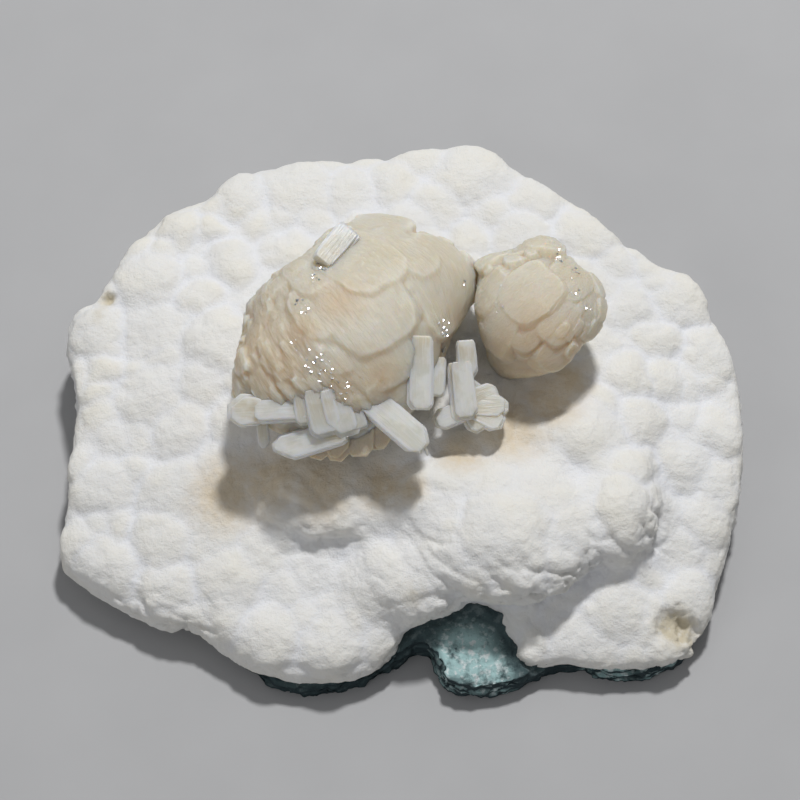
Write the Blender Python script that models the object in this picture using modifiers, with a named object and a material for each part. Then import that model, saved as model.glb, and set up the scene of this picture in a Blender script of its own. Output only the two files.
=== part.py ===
"""Stilbite sheaves on a botryoidal chalcedony plate that covers a blue-green rock.

Metres, +Z up. The origin is under the middle of the specimen, at the level that it
rests on, and the front of the specimen faces -Y. Lengths in the tables are millimetres,
in a plan whose own origin is PLAN_MIDDLE short of the specimen's middle.
"""

import math
import random

import bmesh
import bpy
import numpy as np
from mathutils import Matrix, Vector, noise

# Driving dimensions
MM = 0.001
GAP = 0.3                    # space between neighbouring solids
LEAST_LEAN = 0.35            # cosine at which a sharp corner stops moving further out
PLAN_MIDDLE = (0.32, -0.34)  # middle of the finished specimen, in the tables' plan
SLAB_THICKNESS = 20.0        # of the flat blanks, before they take their heights

# The crust
CRUST_UNDERSIDE = 3.4        # height of the crust's underside outside the rock
EDGE_ROUNDING = 2.6
SPOT_REACH = 9.5             # how far a height spot works on the crust
BLANK_VOXEL = 1.5
CRUST_VOXEL = 1.1
CRUST_TRIANGLES = 3400
BULGE_SMOOTHING = 6
VALLEY_DEPTH = 0.5           # of the ground between domes that don't meet
LUMP_SHARE = 0.66            # of their rises, how much the big lumps really rise
DOME_STRAYS = ((1.7, 7.0), (0.7, 2.6))   # how far the outlines wander, and over what length
DOME_SPACING = 0.68          # of the sum of two neighbours' radii
FACING_GAIN = 1.4            # how soon a slope carries a dome's whole height
FILLING_SEED = 12
FILLING_TRIES = 1400
FILLING_PLAN = (68.0, 58.0)
FILLING_RADII = (2.4, 6.8)
FILLING_RISES = (0.12, 0.26)  # for each of the radius
CALM_SHARE = 0.75            # how much of their rise domes lose on calm ground
FRONT = (-18.0, -40.0)       # where along the plan the edge begins to fall, and falls fully
EDGE_FALL = 4.0              # how much lower the crust is right at its front edge
EDGE_REACH = 3.6             # and how fast that ends further in

# The rock
ROCK_ROUNDING = 1.5
ROCK_REACH = 8.0
ROCK_VOXEL = 1.6
ROCK_TRIANGLES = 760
ROCK_ROOT = 3.0              # how far the rock goes on below the flat cut
ROCK_GRAIN = 6.0             # size of the rock's broken hollows
ROCK_WOBBLE = (1.2, 0.9, 0.9)
NOISE_STEP = 37.3            # from one reading of the noise to the next

# The stilbite
BODY_SHARE = 0.92            # size of a sheaf's body against the reach of its blades
BLADE_SWEEP = math.radians(42)    # how far round the dome a blade reaches
BLADE_REACH = (0.95, 1.0)    # of the dome, where a blade ends
BLADE_SIZES = (0.8, 1.2)
BLADE_STRAY = 5.0            # degrees that a blade may stand off its place in a ring
START_SHARE = 0.80           # depth of a blade's root in the dome
RING_SINK = 0.05             # how much deeper the highest blades lie
EDGE_ON_FROM = 145           # azimuth beyond which a sheaf's blades stand on edge
EDGE_ON_WIDTH = 0.5
EDGE_ON_TURN = (0.5, 1.0)
SINGLE_FACE = (0.0, -0.5, 0.87)

COLLECTION_NAME = "stilbite_with_chalcedony"
HELPER_NAME = "cutters"

# Plan of the crust, counter-clockwise from the right, with the notch under the lip
CRUST_OUTLINE = (
    (70, 0), (69, -20), (65.5, -33), (62, -45), (58.5, -53), (53, -56), (41, -56.5),
    (32, -55.5), (25, -56), (21.5, -53), (19, -48), (14, -44), (7, -43.5), (2, -46),
    (0.5, -51.5), (-4, -56.5), (-11, -59), (-18, -59.5), (-26, -58), (-33, -55),
    (-41, -49), (-50, -47.5), (-57, -43.5), (-64, -38.5), (-69, -33), (-68, -22),
    (-67.5, -12), (-67, 2), (-69.5, 13), (-69, 19), (-64, 22), (-61, 28), (-55.5, 36),
    (-48, 44.5), (-41, 46), (-38, 51), (-32, 53.5), (-21.5, 55.5), (-11, 55.5),
    (0, 57.5), (9, 59), (15, 60), (21, 57), (27, 51.5), (34, 47), (40, 43), (43.5, 38.5),
    (50, 33.5), (54.5, 29.5), (59, 29.5), (62.5, 25), (64.5, 18.5), (67, 13), (69, 8),
)
# Heights of the crust's top at spots of the plan
CRUST_SPOTS = (
    (0, 50, 22), (-30, 42, 22), (32, 40, 22), (-52, 25, 21), (52, 22, 21), (-62, 8, 18),
    (64, 5, 18), (-35, 12, 23), (0, 20, 24), (38, 10, 24), (-60, -15, 15), (-45, -12, 19),
    (-62, -32, 11), (-45, -38, 13), (-30, -30, 17), (-30, -50, 11), (-12, -52, 11),
    (-14, -42, 14), (-20, -14, 23), (5, -8, 25), (22, -16, 25), (40, -12, 24), (4, -36, 18),
    (24, -32, 24), (42, -24, 22), (64, -14, 17), (62, -30, 13), (52, -34, 13), (42, -46, 12),
    (28, -50, 9), (58, -48, 9), (42, -54, 8), (24, -43, 11), (35, -39, 11), (45, -39, 15),
)
# Rounded lumps on the crust's top: x, y, radius in plan, rise
LUMPS = (
    (-52, 25, 7.5, 3.2), (-46, 38, 4.6, 2.0), (-40, 38, 3.0, 1.4), (-35, 29, 5.6, 2.3),
    (-23, 32, 5.6, 2.2), (-42, 21, 4.2, 1.7), (-38, 10, 7.6, 2.4), (-63, 14, 6.0, 2.6),
    (-61, 6, 4.2, 1.8), (-51, -1, 7.6, 2.6), (-21, 48, 8.0, 2.6), (-34, 46, 5.6, 2.2),
    (-11, 47, 6.0, 2.3), (-1, 49, 6.6, 2.3), (8, 44, 6.2, 2.0), (15, 52, 9.0, 3.0),
    (28, 45, 5.6, 2.2), (26, 35, 7.6, 2.8), (39, 36, 6.6, 2.4), (48, 19, 5.6, 2.0),
    (59, 21, 6.2, 2.6), (64, 9, 6.4, 2.4), (46.5, 2, 5.2, 2.2), (54, 2, 4.2, 1.8),
    (49, -9, 5.2, 1.8), (38, -13, 8.0, 2.4), (46, -19, 5.0, 1.8), (64, -9, 5.4, 2.0),
    (61, -27, 5.4, 1.8), (58, -43, 5.4, 2.0), (43, -45, 6.4, 2.2), (-59, -36, 6.6, 2.3),
    (-47, -41, 5.4, 1.8), (-26, -52, 6.4, 2.2), (-13, -53, 6.8, 2.2), (-60, -20, 6.2, 1.9),
    (-46, -22, 6.8, 1.8), (-34, -40, 6.4, 1.7), (-33, -8, 5.8, 1.8), (14, 34, 5.0, 1.8),
    (-8, 37, 4.6, 1.6), (53, 11, 4.6, 1.7), (57, -16, 4.8, 1.6), (-57, 34, 4.4, 1.6),
    (20.5, -36, 9.5, 2.6), (45, -30.5, 7.0, 2.2),
)
# Calm ground, where the domes are low: x, y, reach
CALM = (
    (20, -32, 15), (32, -28, 12), (2, -40, 12), (-14, -30, 13), (-24, -50, 12), (-10, -52, 10),
    (45, -45, 12), (-30, -32, 10), (62, -30, 8),
)
# Big bulges of the raised front and its overhanging lip: centre, then radii
BULGES = (
    ((21, -31, 18.4), (20.2, 18.0, 9.0)),
    ((42.3, -26.2, 16.2), (10.6, 13.8, 9.8)),
    ((3, -39, 13.4), (12.5, 11.4, 7.2)),
    ((-6, -41, 11.6), (8.0, 8.6, 5.2)),
    ((7, -25, 17.6), (13.0, 10.0, 8.6)),
    ((-12, -22, 17.0), (19.0, 12.5, 7.0)),
    ((33, -14, 19.0), (11.0, 9.0, 7.0)),
)
# Broken hollows: centre, then radii
PITS = (
    ((54.2, -49.2, 11.8), (3.8, 2.8, 3.0)),
    ((-61.0, 21.5, 20.5), (1.6, 1.4, 2.4)),
)
# Plan of the rock, counter-clockwise from the right
ROCK_OUTLINE = (
    (63, 0), (63, -18), (60, -32), (58, -44), (57, -51), (53, -54.5), (42, -56.5),
    (36, -54.5), (29, -55.5), (21, -59.3), (14, -60), (9, -58.5), (7, -54), (4, -50.5),
    (0, -53), (-5, -56), (-12, -58.5), (-20, -59.4), (-28, -56), (-35, -49), (-47, -41),
    (-58, -35), (-63, -27), (-62, -10), (-63, 5), (-64, 15), (-57, 25), (-49, 37),
    (-38, 46), (-28, 50), (-10, 51), (8, 54), (17, 54), (29, 46), (39, 39), (52, 30),
    (58, 25), (61, 14),
)
# Heights of the rock's top at spots of the plan, with the knob under the lip
ROCK_SPOTS = (
    (0, 0, 6.5), (-40, 20, 6), (-45, -20, 7), (-20, -45, 5), (-10, 40, 7), (35, 30, 6),
    (50, 0, 7), (35, -20, 6.5), (12, -48, 11), (16, -54, 9.5), (14, -62, 3), (40, -50, 5),
    (4, -56, 5), (54, -44, 5.5), (28, -58, 4.5), (-50, 0, 5), (-20, -60, 3.5),
)

# Sections of a blade from its root to its end: share of length, width and thickness
BLADE_SECTIONS = ((0.0, 0.55, 0.6), (0.78, 1.0, 1.0), (0.94, 0.72, 0.8), (1.0, 0.3, 0.4))
# A sheaf fans out from its root over a domed body, whose plan is turned and has dents.
# A dent is an azimuth, a share of the reach, and the angle that it spreads over.
# The stem is how far the underside reaches below the centre, and how far it draws in to
# the root.
LARGE = {
    "seed": 5,
    "root": (-1, -6, 27),
    "centre": (-9.6, 4.8, 32),
    "radii": (28.5, 25.5, 18.5),
    "turn": 25,
    "dents": ((-22, 0.34, 24), (129, 0.42, 17), (156, 0.17, 13), (184, 0.24, 13),
              (5, 0.08, 14), (27, -0.08, 12)),
    "stem_depth": 12.5,
    "stem_pull": 0.5,
}
SMALL = {
    "seed": 8,
    "root": (16, -1, 28),
    "centre": (27.4, 8.6, 35.5),
    "radii": (13, 14.2, 9.4),
    "turn": 0,
    "dents": ((-160, 0.08, 24), (140, -0.14, 12), (118, 0.17, 12), (84, -0.11, 10),
              (42, 0.15, 14), (-40, 0.16, 16)),
    "stem_depth": 14.5,
    "stem_pull": 0.62,
}
# Rings of blades on a sheaf: angle above the rim, first and last azimuth, count, width,
# thickness
LARGE_RINGS = (
    (0, 14, 205, 15, 9.6, 4.6),
    (22, -2, 208, 12, 10.6, 4.2),
    (44, -15, 215, 8, 11.6, 4.0),
    (66, -20, 220, 5, 12.5, 3.6),
)
SMALL_RINGS = (
    (0, -60, 140, 9, 6.6, 3.4),
    (32, -45, 130, 6, 7.6, 3.0),
    (60, -20, 110, 3, 8.0, 2.6),
)
# Single crystals: root, end, width, thickness
LARGE_SINGLES = (
    ((-10.4, -16.0, 39.5), (-28.9, -15.5, 37.2), 4.6, 3.2),
    ((-26.0, -14.8, 36.6), (-34.1, -14.2, 35.4), 6.6, 4.8),
    ((-27.4, -14.6, 36.0), (-26.8, -20.1, 31.0), 2.4, 2.0),
    ((-10.9, -17.6, 36.0), (-25.0, -22.0, 33.0), 5.6, 3.2),
    ((-14.9, -13.5, 42.4), (-14.2, -21.6, 37.4), 7.0, 3.0),
    ((-13.4, -12.8, 42.0), (-8.9, -20.9, 36.6), 6.2, 3.0),
    ((-18.6, -12.8, 41.0), (-17.8, -19.4, 38.0), 5.0, 2.8),
    ((-10.0, -11.0, 44.8), (4.7, -22.8, 36.0), 6.2, 2.8),
    ((3.9, -1.6, 47.4), (3.7, -15.9, 38.8), 5.4, 2.8),
    ((7.0, -0.5, 38.8), (7.1, -11.4, 36.2), 2.9, 2.2),
    ((-16.6, 9.4, 48.6), (-10.0, 19.2, 49.6), 5.3, 2.4),
    ((-5.4, -9.0, 38.0), (-6.6, -22.0, 31.0), 8.6, 3.4),
    ((-10.5, -11.0, 37.0), (-15.5, -23.4, 30.8), 8.4, 3.4),
    ((-3.6, -9.0, 38.0), (-1.8, -19.6, 31.8), 5.4, 3.0),
    ((-15.5, -12.0, 37.0), (-22.6, -21.0, 31.0), 6.4, 3.0),
)
SPRAY_STEM = ((15, -4, 19), (13.5, -8, 32), 6.0, 5.0)
SPRAY_CRYSTALS = (
    ((12.7, 0.1, 38.8), (13.3, -7.6, 34.5), 4.2, 2.8),
    ((11.5, -3.6, 36.4), (12.7, -14.2, 31.8), 5.4, 3.4),
    ((13.7, -11.3, 31.5), (6.5, -14.1, 30.5), 4.4, 3.2),
    ((12.9, -10.0, 31.2), (19.2, -7.6, 32), 4.6, 2.8),
    ((12.9, -10.5, 31.0), (21.4, -10.6, 31), 5.0, 2.8),
    ((13.3, -10.7, 30.6), (20.4, -13.9, 29.5), 5.0, 2.8),
    ((13.3, -10.8, 30.2), (16.0, -15.2, 29), 4.6, 2.8),
)


def clear_scene():
    for item in list(bpy.data.objects):
        bpy.data.objects.remove(item, do_unlink=True)


def new_collection(name):
    collection = bpy.data.collections.new(name)
    bpy.context.scene.collection.children.link(collection)
    return collection


def new_material(name, colour, roughness, transmission=0.0):
    material = bpy.data.materials.new(name)
    material.use_nodes = True
    shader = material.node_tree.nodes["Principled BSDF"]
    shader.inputs["Base Color"].default_value = (*colour, 1.0)
    shader.inputs["Roughness"].default_value = roughness
    shader.inputs["Metallic"].default_value = 0.0
    shader.inputs["Transmission Weight"].default_value = transmission
    return material


def new_object(name, mesh, collection):
    item = bpy.data.objects.new(name, mesh)
    collection.objects.link(item)
    return item


def object_from(bm, name, collection):
    mesh = bpy.data.meshes.new(name)
    bm.to_mesh(mesh)
    bm.free()
    return new_object(name, mesh, collection)


def bake(item):
    """Turns an object's modifiers into its mesh."""
    bpy.context.view_layer.update()
    evaluated = item.evaluated_get(bpy.context.evaluated_depsgraph_get())
    mesh = bpy.data.meshes.new_from_object(evaluated)
    item.modifiers.clear()
    item.data = mesh


def shell_of(face, waiting):
    """The faces that are joined to a face by edges, taken out of those waiting."""
    shell = [face]
    waiting.discard(face)
    for member in shell:
        for edge in member.edges:
            for other in edge.link_faces:
                if other in waiting:
                    waiting.discard(other)
                    shell.append(other)
    return shell


def keep_main_shell(item):
    """Removes sealed hollows and cut-off crumbs, so that one closed shell is left."""
    bm = bmesh.new()
    bm.from_mesh(item.data)
    waiting = set(bm.faces)
    shells = [shell_of(face, waiting) for face in bm.faces if face in waiting]
    shells.sort(key=len)
    others = [face for shell in shells[:-1] for face in shell]
    bmesh.ops.delete(bm, geom=others, context="FACES")
    bm.to_mesh(item.data)
    bm.free()


def boolean(item, helpers, operation):
    """Joins closed helper objects to an object, or cuts them from it, then removes them."""
    group = new_collection(HELPER_NAME)
    for helper in helpers:
        for owner in list(helper.users_collection):
            owner.objects.unlink(helper)
        group.objects.link(helper)
    modifier = item.modifiers.new(operation.title(), "BOOLEAN")
    modifier.operation = operation
    modifier.operand_type = "COLLECTION"
    modifier.collection = group
    modifier.solver = "EXACT"
    bake(item)
    for helper in helpers:
        bpy.data.objects.remove(helper, do_unlink=True)
    bpy.data.collections.remove(group)
    keep_main_shell(item)


def coordinates(mesh):
    """A mesh's points as rows of x, y and z."""
    co = np.empty(len(mesh.vertices) * 3, dtype=np.float32)
    mesh.vertices.foreach_get("co", co)
    return co.reshape(-1, 3).astype(float)


def normals_of(mesh):
    values = np.empty(len(mesh.vertices) * 3, dtype=np.float32)
    mesh.vertex_normals.foreach_get("vector", values)
    return values.reshape(-1, 3).astype(float)


def set_coordinates(mesh, co):
    mesh.vertices.foreach_set("co", co.astype(np.float32).ravel())
    mesh.update()


def rough(co, size, offset=0.0):
    """Smooth noise between about -1 and 1, with bumps of a size."""
    shift = Vector((offset, offset, offset))
    return np.array([noise.noise(Vector(point) / size + shift) for point in co])


def spot_heights(spots, reach, x, y):
    """Blends the heights of the spots near places of the plan."""
    total, weights = np.zeros(len(x)), np.zeros(len(x))
    for sx, sy, height in spots:
        weight = np.exp(-((x - sx) ** 2 + (y - sy) ** 2) / (2 * reach * reach)) + 1e-9
        total += weight * height
        weights += weight
    return total / weights


def flat_blank(name, outline, rounding, collection):
    """A flat slab with rounded edges, its plan a smooth closed curve, in millimetres."""
    curve = bpy.data.curves.new(name, "CURVE")
    curve.dimensions = "2D"
    curve.fill_mode = "BOTH"
    curve.extrude = SLAB_THICKNESS / 2 - rounding
    curve.bevel_depth = rounding
    curve.bevel_resolution = 2
    curve.offset = -rounding
    curve.resolution_u = 3
    spline = curve.splines.new("BEZIER")
    spline.bezier_points.add(len(outline) - 1)
    for point, (x, y) in zip(spline.bezier_points, outline):
        point.co = (x, y, 0)
        point.handle_left_type = "AUTO"
        point.handle_right_type = "AUTO"
    spline.use_cyclic_u = True
    drawn = new_object(name + "_curve", curve, collection)
    bpy.context.view_layer.update()
    evaluated = drawn.evaluated_get(bpy.context.evaluated_depsgraph_get())
    mesh = bpy.data.meshes.new_from_object(evaluated)
    bpy.data.objects.remove(drawn, do_unlink=True)
    bm = bmesh.new()
    bm.from_mesh(mesh)
    bmesh.ops.remove_doubles(bm, verts=bm.verts, dist=0.0001)
    return object_from(bm, name, collection)


def remesh(item, voxel):
    modifier = item.modifiers.new("Remesh", "REMESH")
    modifier.mode = "VOXEL"
    modifier.voxel_size = voxel
    bake(item)


def decimate(item, triangles):
    """Brings an object's mesh down to about a number of triangles."""
    item.data.calc_loop_triangles()
    modifier = item.modifiers.new("Decimate", "DECIMATE")
    modifier.ratio = triangles / len(item.data.loop_triangles)
    modifier.use_collapse_triangulate = True
    bake(item)


def add_ball(bm, centre, radii, subdivisions=3):
    matrix = Matrix.Translation(centre) @ Matrix.Diagonal((*radii, 1.0))
    bmesh.ops.create_icosphere(bm, subdivisions=subdivisions, radius=1.0, matrix=matrix)


def grow(item, balls):
    """Adds balls to an object's mesh, for a remesh to fuse."""
    bm = bmesh.new()
    bm.from_mesh(item.data)
    for centre, radii in balls:
        add_ball(bm, centre, radii)
    bm.to_mesh(item.data)
    bm.free()


def near_spot(x, y, spots):
    """How near a place of the plan is to any of some spots, between 0 and 1."""
    return max(math.exp(-((x - sx) ** 2 + (y - sy) ** 2) / reach ** 2) for sx, sy, reach in spots)


def crust_domes():
    """The big lumps, and lower domes that fill the ground between them."""
    rng = random.Random(FILLING_SEED)
    domes = [(x, y, radius, LUMP_SHARE * rise) for x, y, radius, rise in LUMPS]
    wide, deep = FILLING_PLAN
    for _ in range(FILLING_TRIES):
        x, y = rng.uniform(-wide, wide), rng.uniform(-deep, deep)
        radius = rng.uniform(*FILLING_RADII)
        rise = rng.uniform(*FILLING_RISES) * radius
        spacing = (math.hypot(x - tx, y - ty) / (radius + tr) for tx, ty, tr, _ in domes)
        if min(spacing) > DOME_SPACING:
            domes.append((x, y, radius, rise * (1 - CALM_SHARE * near_spot(x, y, CALM))))
    return domes


def dome_relief(domes, x, y):
    """How far the domes raise places of the plan, with creases where they meet."""
    relief = np.full(len(x), -VALLEY_DEPTH)
    for dx, dy, radius, rise in domes:
        share = ((x - dx) ** 2 + (y - dy) ** 2) / radius ** 2
        relief = np.maximum(relief, rise * (1 - share))
    return relief


def raise_domes(item):
    """Moves what faces up out along its normals, by the relief of the domes there."""
    mesh = item.data
    co, normals = coordinates(mesh), normals_of(mesh)
    x, y = co[:, 0].copy(), co[:, 1].copy()
    for stray, length in DOME_STRAYS:
        x += stray * rough(co, length)
        y += stray * rough(co, length, NOISE_STEP)
    facing = np.clip(normals[:, 2] * FACING_GAIN, 0.0, 1.0)
    set_coordinates(mesh, co + normals * (dome_relief(crust_domes(), x, y) * facing)[:, None])


def edge_fall(x, y):
    """How much lower the crust is near its front edge."""
    near = np.full(len(x), np.inf)
    points = np.array(CRUST_OUTLINE, float)
    for first, second in zip(points, np.roll(points, -1, axis=0)):
        along = second - first
        share = ((x - first[0]) * along[0] + (y - first[1]) * along[1]) / (along @ along)
        share = np.clip(share, 0, 1)
        near = np.minimum(near, np.hypot(x - first[0] - share * along[0],
                                         y - first[1] - share * along[1]))
    start, full = FRONT
    front = np.clip((start - y) / (start - full), 0, 1)
    return EDGE_FALL * front * np.exp(-near / EDGE_REACH)


def make_crust(collection, rock):
    """The botryoidal plate: a warped slab with bulges, low domes and its broken pits."""
    crust = flat_blank("chalcedony_plate", CRUST_OUTLINE, EDGE_ROUNDING, collection)
    remesh(crust, BLANK_VOXEL)
    co = coordinates(crust.data)
    top = spot_heights(CRUST_SPOTS, SPOT_REACH, co[:, 0], co[:, 1])
    top -= edge_fall(co[:, 0], co[:, 1])
    level = co[:, 2] / SLAB_THICKNESS + 0.5
    co[:, 2] = CRUST_UNDERSIDE + level * (top - CRUST_UNDERSIDE)
    set_coordinates(crust.data, co)

    grow(crust, BULGES)
    remesh(crust, BLANK_VOXEL)
    smooth = crust.modifiers.new("Smooth", "SMOOTH")
    smooth.iterations = BULGE_SMOOTHING
    bake(crust)
    remesh(crust, CRUST_VOXEL)
    raise_domes(crust)
    decimate(crust, CRUST_TRIANGLES)

    hollow = bmesh.new()
    for centre, radii in PITS:
        add_ball(hollow, centre, radii, subdivisions=2)
    pits = object_from(hollow, "pits", collection)
    boolean(crust, [pits, gap_copy(rock, collection)], "DIFFERENCE")
    return crust


def gap_copy(item, collection):
    """A copy of a solid, each face moved out by the gap or more, to cut its neighbour with."""
    bm = bmesh.new()
    bm.from_mesh(item.data)
    bm.normal_update()
    moves = []
    for vertex in bm.verts:
        lean = min(vertex.normal.dot(face.normal) for face in vertex.link_faces)
        moves.append(vertex.normal / max(lean, LEAST_LEAN))
    for vertex, move in zip(bm.verts, moves):
        vertex.co += GAP * move
    return object_from(bm, item.name + "_space", collection)


def broken(place):
    """How far the rock's surface strays along each axis, from noise read at three places."""
    return Vector([
        amount * noise.noise(place + Vector((axis * NOISE_STEP, 0, 0)))
        for axis, amount in enumerate(ROCK_WOBBLE)
    ])


def make_rock(collection):
    """The thin matrix under the crust, broken at its sides and cut flat below."""
    rock = flat_blank("celadonite_rock", ROCK_OUTLINE, ROCK_ROUNDING, collection)
    remesh(rock, ROCK_VOXEL)
    co = coordinates(rock.data)
    top = spot_heights(ROCK_SPOTS, ROCK_REACH, co[:, 0], co[:, 1])
    level = co[:, 2] / SLAB_THICKNESS + 0.5
    stray = np.array([broken(Vector((x, y, 3 * z)) / ROCK_GRAIN) for x, y, z in co])
    co[:, :2] += stray[:, :2]
    co[:, 2] = level * (top + ROCK_ROOT + stray[:, 2]) - ROCK_ROOT
    set_coordinates(rock.data, co)
    decimate(rock, ROCK_TRIANGLES)

    half = SLAB_THICKNESS / 2
    wide = Matrix.Diagonal((10 * SLAB_THICKNESS, 10 * SLAB_THICKNESS, SLAB_THICKNESS, 1.0))
    below = bmesh.new()
    bmesh.ops.create_cube(below, size=1.0, matrix=Matrix.Translation((0, 0, -half)) @ wide)
    boolean(rock, [object_from(below, "below", collection)], "DIFFERENCE")
    return rock


def blade(root, end, width, thickness, face, collection):
    """A tabular crystal between two places, its broad face towards a direction.

    It is made from the origin up +Z, wider towards its wedge-shaped end, and then laid.
    """
    axis = Vector(end) - Vector(root)
    bm = bmesh.new()
    bmesh.ops.create_cube(bm, size=1.0, matrix=Matrix.Translation((0, 0, 0.5)))
    upright = [edge for edge in bm.edges if abs(edge.verts[0].co.z - edge.verts[1].co.z) > 0.5]
    steps = len(BLADE_SECTIONS) - 1
    bmesh.ops.subdivide_edges(bm, edges=upright, cuts=steps - 1, use_grid_fill=True)
    for vertex in bm.verts:
        along, wide, thick = BLADE_SECTIONS[round(vertex.co.z * steps)]
        vertex.co.x *= width * wide
        vertex.co.y *= thickness * thick
        vertex.co.z = axis.length * along
    along = axis.normalized()
    across = along.cross(Vector(face)).normalized()
    frame = Matrix((across, along.cross(across), along)).transposed().to_4x4()
    bm.transform(Matrix.Translation(root) @ frame)
    return object_from(bm, "blade", collection)


def on_dome(form, way):
    """The place where a direction from a sheaf's centre meets its dome."""
    reach = 1.0
    azimuth = math.degrees(math.atan2(way.y, way.x))
    for middle, depth, spread in form["dents"]:
        away = (azimuth - middle + 180) % 360 - 180
        reach -= depth * math.exp(-(away / spread) ** 2 / 2) * (1 - abs(way.z))
    turn = Matrix.Rotation(math.radians(form["turn"]), 3, "Z")
    local = turn.inverted() @ way
    stretched = Vector([radius * part for radius, part in zip(form["radii"], local)])
    return reach * (turn @ stretched)


def ring_blades(rng, form, rings, collection):
    """Blades that lie on a sheaf's dome and end along rings of it, away from the root."""
    centre = Vector(form["centre"])
    back = (Vector(form["root"]) - centre).normalized()
    for rise, first, last, count, width, thickness in rings:
        for index in range(count):
            azimuth = first + (last - first) * index / (count - 1)
            azimuth += rng.uniform(-BLADE_STRAY, BLADE_STRAY)
            turn = math.radians(azimuth)
            lift = math.radians(rise + rng.uniform(-BLADE_STRAY, BLADE_STRAY))
            level = math.cos(lift)
            out = Vector((math.cos(turn) * level, math.sin(turn) * level, math.sin(lift)))
            start_way = out.slerp(back, BLADE_SWEEP / out.angle(back))
            reach = rng.uniform(*BLADE_REACH) - RING_SINK * math.sin(lift)
            end = centre + reach * on_dome(form, out)
            start = centre + START_SHARE * on_dome(form, start_way)
            face = (out + start_way).normalized()
            size = rng.uniform(*BLADE_SIZES)
            wide = width * size
            if azimuth > EDGE_ON_FROM:
                edge_on = face.cross(end - start).normalized()
                face = face.lerp(edge_on, rng.uniform(*EDGE_ON_TURN))
                wide *= EDGE_ON_WIDTH
            yield blade(start, end, wide, thickness * size, face, collection)


def make_sheaf(name, form, rings, singles, collection):
    """A domed body with rings of blades and single crystals, joined in one solid."""
    centre, root = Vector(form["centre"]), Vector(form["root"])
    depth = BODY_SHARE * form["radii"][2]
    bm = bmesh.new()
    add_ball(bm, (0, 0, 0), (1, 1, 1), subdivisions=2)
    for vertex in bm.verts:
        place = centre + BODY_SHARE * on_dome(form, vertex.co.copy())
        below = max(0.0, (centre.z - place.z) / depth)
        if below:
            place.xy = place.xy.lerp(root.xy, form["stem_pull"] * below)
            place.z = centre.z - form["stem_depth"] * below
        vertex.co = place
    sheaf = object_from(bm, name, collection)
    blades = list(ring_blades(random.Random(form["seed"]), form, rings, collection))
    blades += [blade(*single, SINGLE_FACE, collection) for single in singles]
    boolean(sheaf, blades, "UNION")
    return sheaf


def make_spray(collection):
    """The whitish blades between the sheaves, on one short stem."""
    spray = blade(*SPRAY_STEM, SINGLE_FACE, collection)
    spray.name = "stilbite_blade_spray"
    others = [blade(*crystal, SINGLE_FACE, collection) for crystal in SPRAY_CRYSTALS]
    boolean(spray, others, "UNION")
    return spray


def part_from(item, neighbours, collection):
    """Cuts away what an object shares with its neighbours, and the gap beside them."""
    for neighbour in neighbours:
        boolean(item, [gap_copy(neighbour, collection)], "DIFFERENCE")


def main():
    clear_scene()
    collection = new_collection(COLLECTION_NAME)
    rock = make_rock(collection)
    crust = make_crust(collection, rock)
    large = make_sheaf("large_stilbite_sheaf", LARGE, LARGE_RINGS, LARGE_SINGLES, collection)
    small = make_sheaf("small_stilbite_sheaf", SMALL, SMALL_RINGS, (), collection)
    spray = make_spray(collection)
    part_from(large, (crust,), collection)
    part_from(small, (crust, large), collection)
    part_from(spray, (crust, large, small), collection)

    chalcedony = new_material("chalcedony", (0.86, 0.85, 0.83), 0.9)
    celadonite = new_material("celadonite", (0.16, 0.27, 0.27), 0.95)
    stilbite = new_material("stilbite", (0.74, 0.66, 0.50), 0.35, transmission=0.2)
    finishes = ((rock, celadonite), (crust, chalcedony), (large, stilbite), (small, stilbite),
                (spray, stilbite))
    to_middle = Matrix.Translation((-PLAN_MIDDLE[0], -PLAN_MIDDLE[1], 0))
    for item, material in finishes:
        item.data.transform(Matrix.Scale(MM, 4) @ to_middle)
        item.data.materials.append(material)


main()
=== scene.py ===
"""The looks of a stilbite and chalcedony specimen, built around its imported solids.

Shapes are made in millimetres, in the plan of the solids' source, whose origin lies
PLAN_MIDDLE short of the specimen's middle, and are moved and scaled to metres at the end.
"""

import math
import random

import bmesh
import bpy
import numpy as np
from mathutils import Matrix, Vector, noise


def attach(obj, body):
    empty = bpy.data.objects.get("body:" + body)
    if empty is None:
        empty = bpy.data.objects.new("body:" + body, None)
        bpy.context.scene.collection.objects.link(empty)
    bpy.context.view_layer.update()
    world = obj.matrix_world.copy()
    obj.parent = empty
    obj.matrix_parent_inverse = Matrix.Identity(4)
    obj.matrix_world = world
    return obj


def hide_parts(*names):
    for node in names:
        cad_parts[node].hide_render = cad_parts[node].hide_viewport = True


MM = 0.001
PLAN_MIDDLE = (0.32, -0.34)

# Camera, at the photograph's viewing angle
VIEW_ELEVATION = math.radians(60)
VIEW_DISTANCE = 0.606
VIEW_TARGET = (-0.00052, 0.00094, 0.01415)
LENS = 132.6
SENSOR = 36

# The crust's forms, the same as its solid's
CRUST_UNDERSIDE = 3.4
SLAB_THICKNESS = 20
EDGE_ROUNDING = 2.6
OUTLINE_STEPS = 3  # between an outline's points
ROUNDING_STEPS = 2
WELD = 0.0001
SPOT_REACH = 9.5
VALLEY_DEPTH = 0.5  # of the ground between domes that don't meet
LUMP_SHARE = 0.66  # of their rises that the big lumps keep
DOME_STRAYS = ((1.7, 7), (0.7, 2.6))  # how far their outlines wander, over what length
DOME_SPACING = 0.68
FACING_GAIN = 1.4  # how soon a slope carries a dome's whole height
FILLING_SEED = 12
FILLING_TRIES = 1400
FILLING_PLAN = (68, 58)
FILLING_RADII = (2.4, 6.8)
FILLING_RISES = (0.12, 0.26)
CALM_SHARE = 0.75  # how much of their rise domes lose on calm ground
BLANK_VOXEL = 1.5
BULGE_SUBDIVISIONS = 3
BULGE_SMOOTHING = 6
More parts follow.
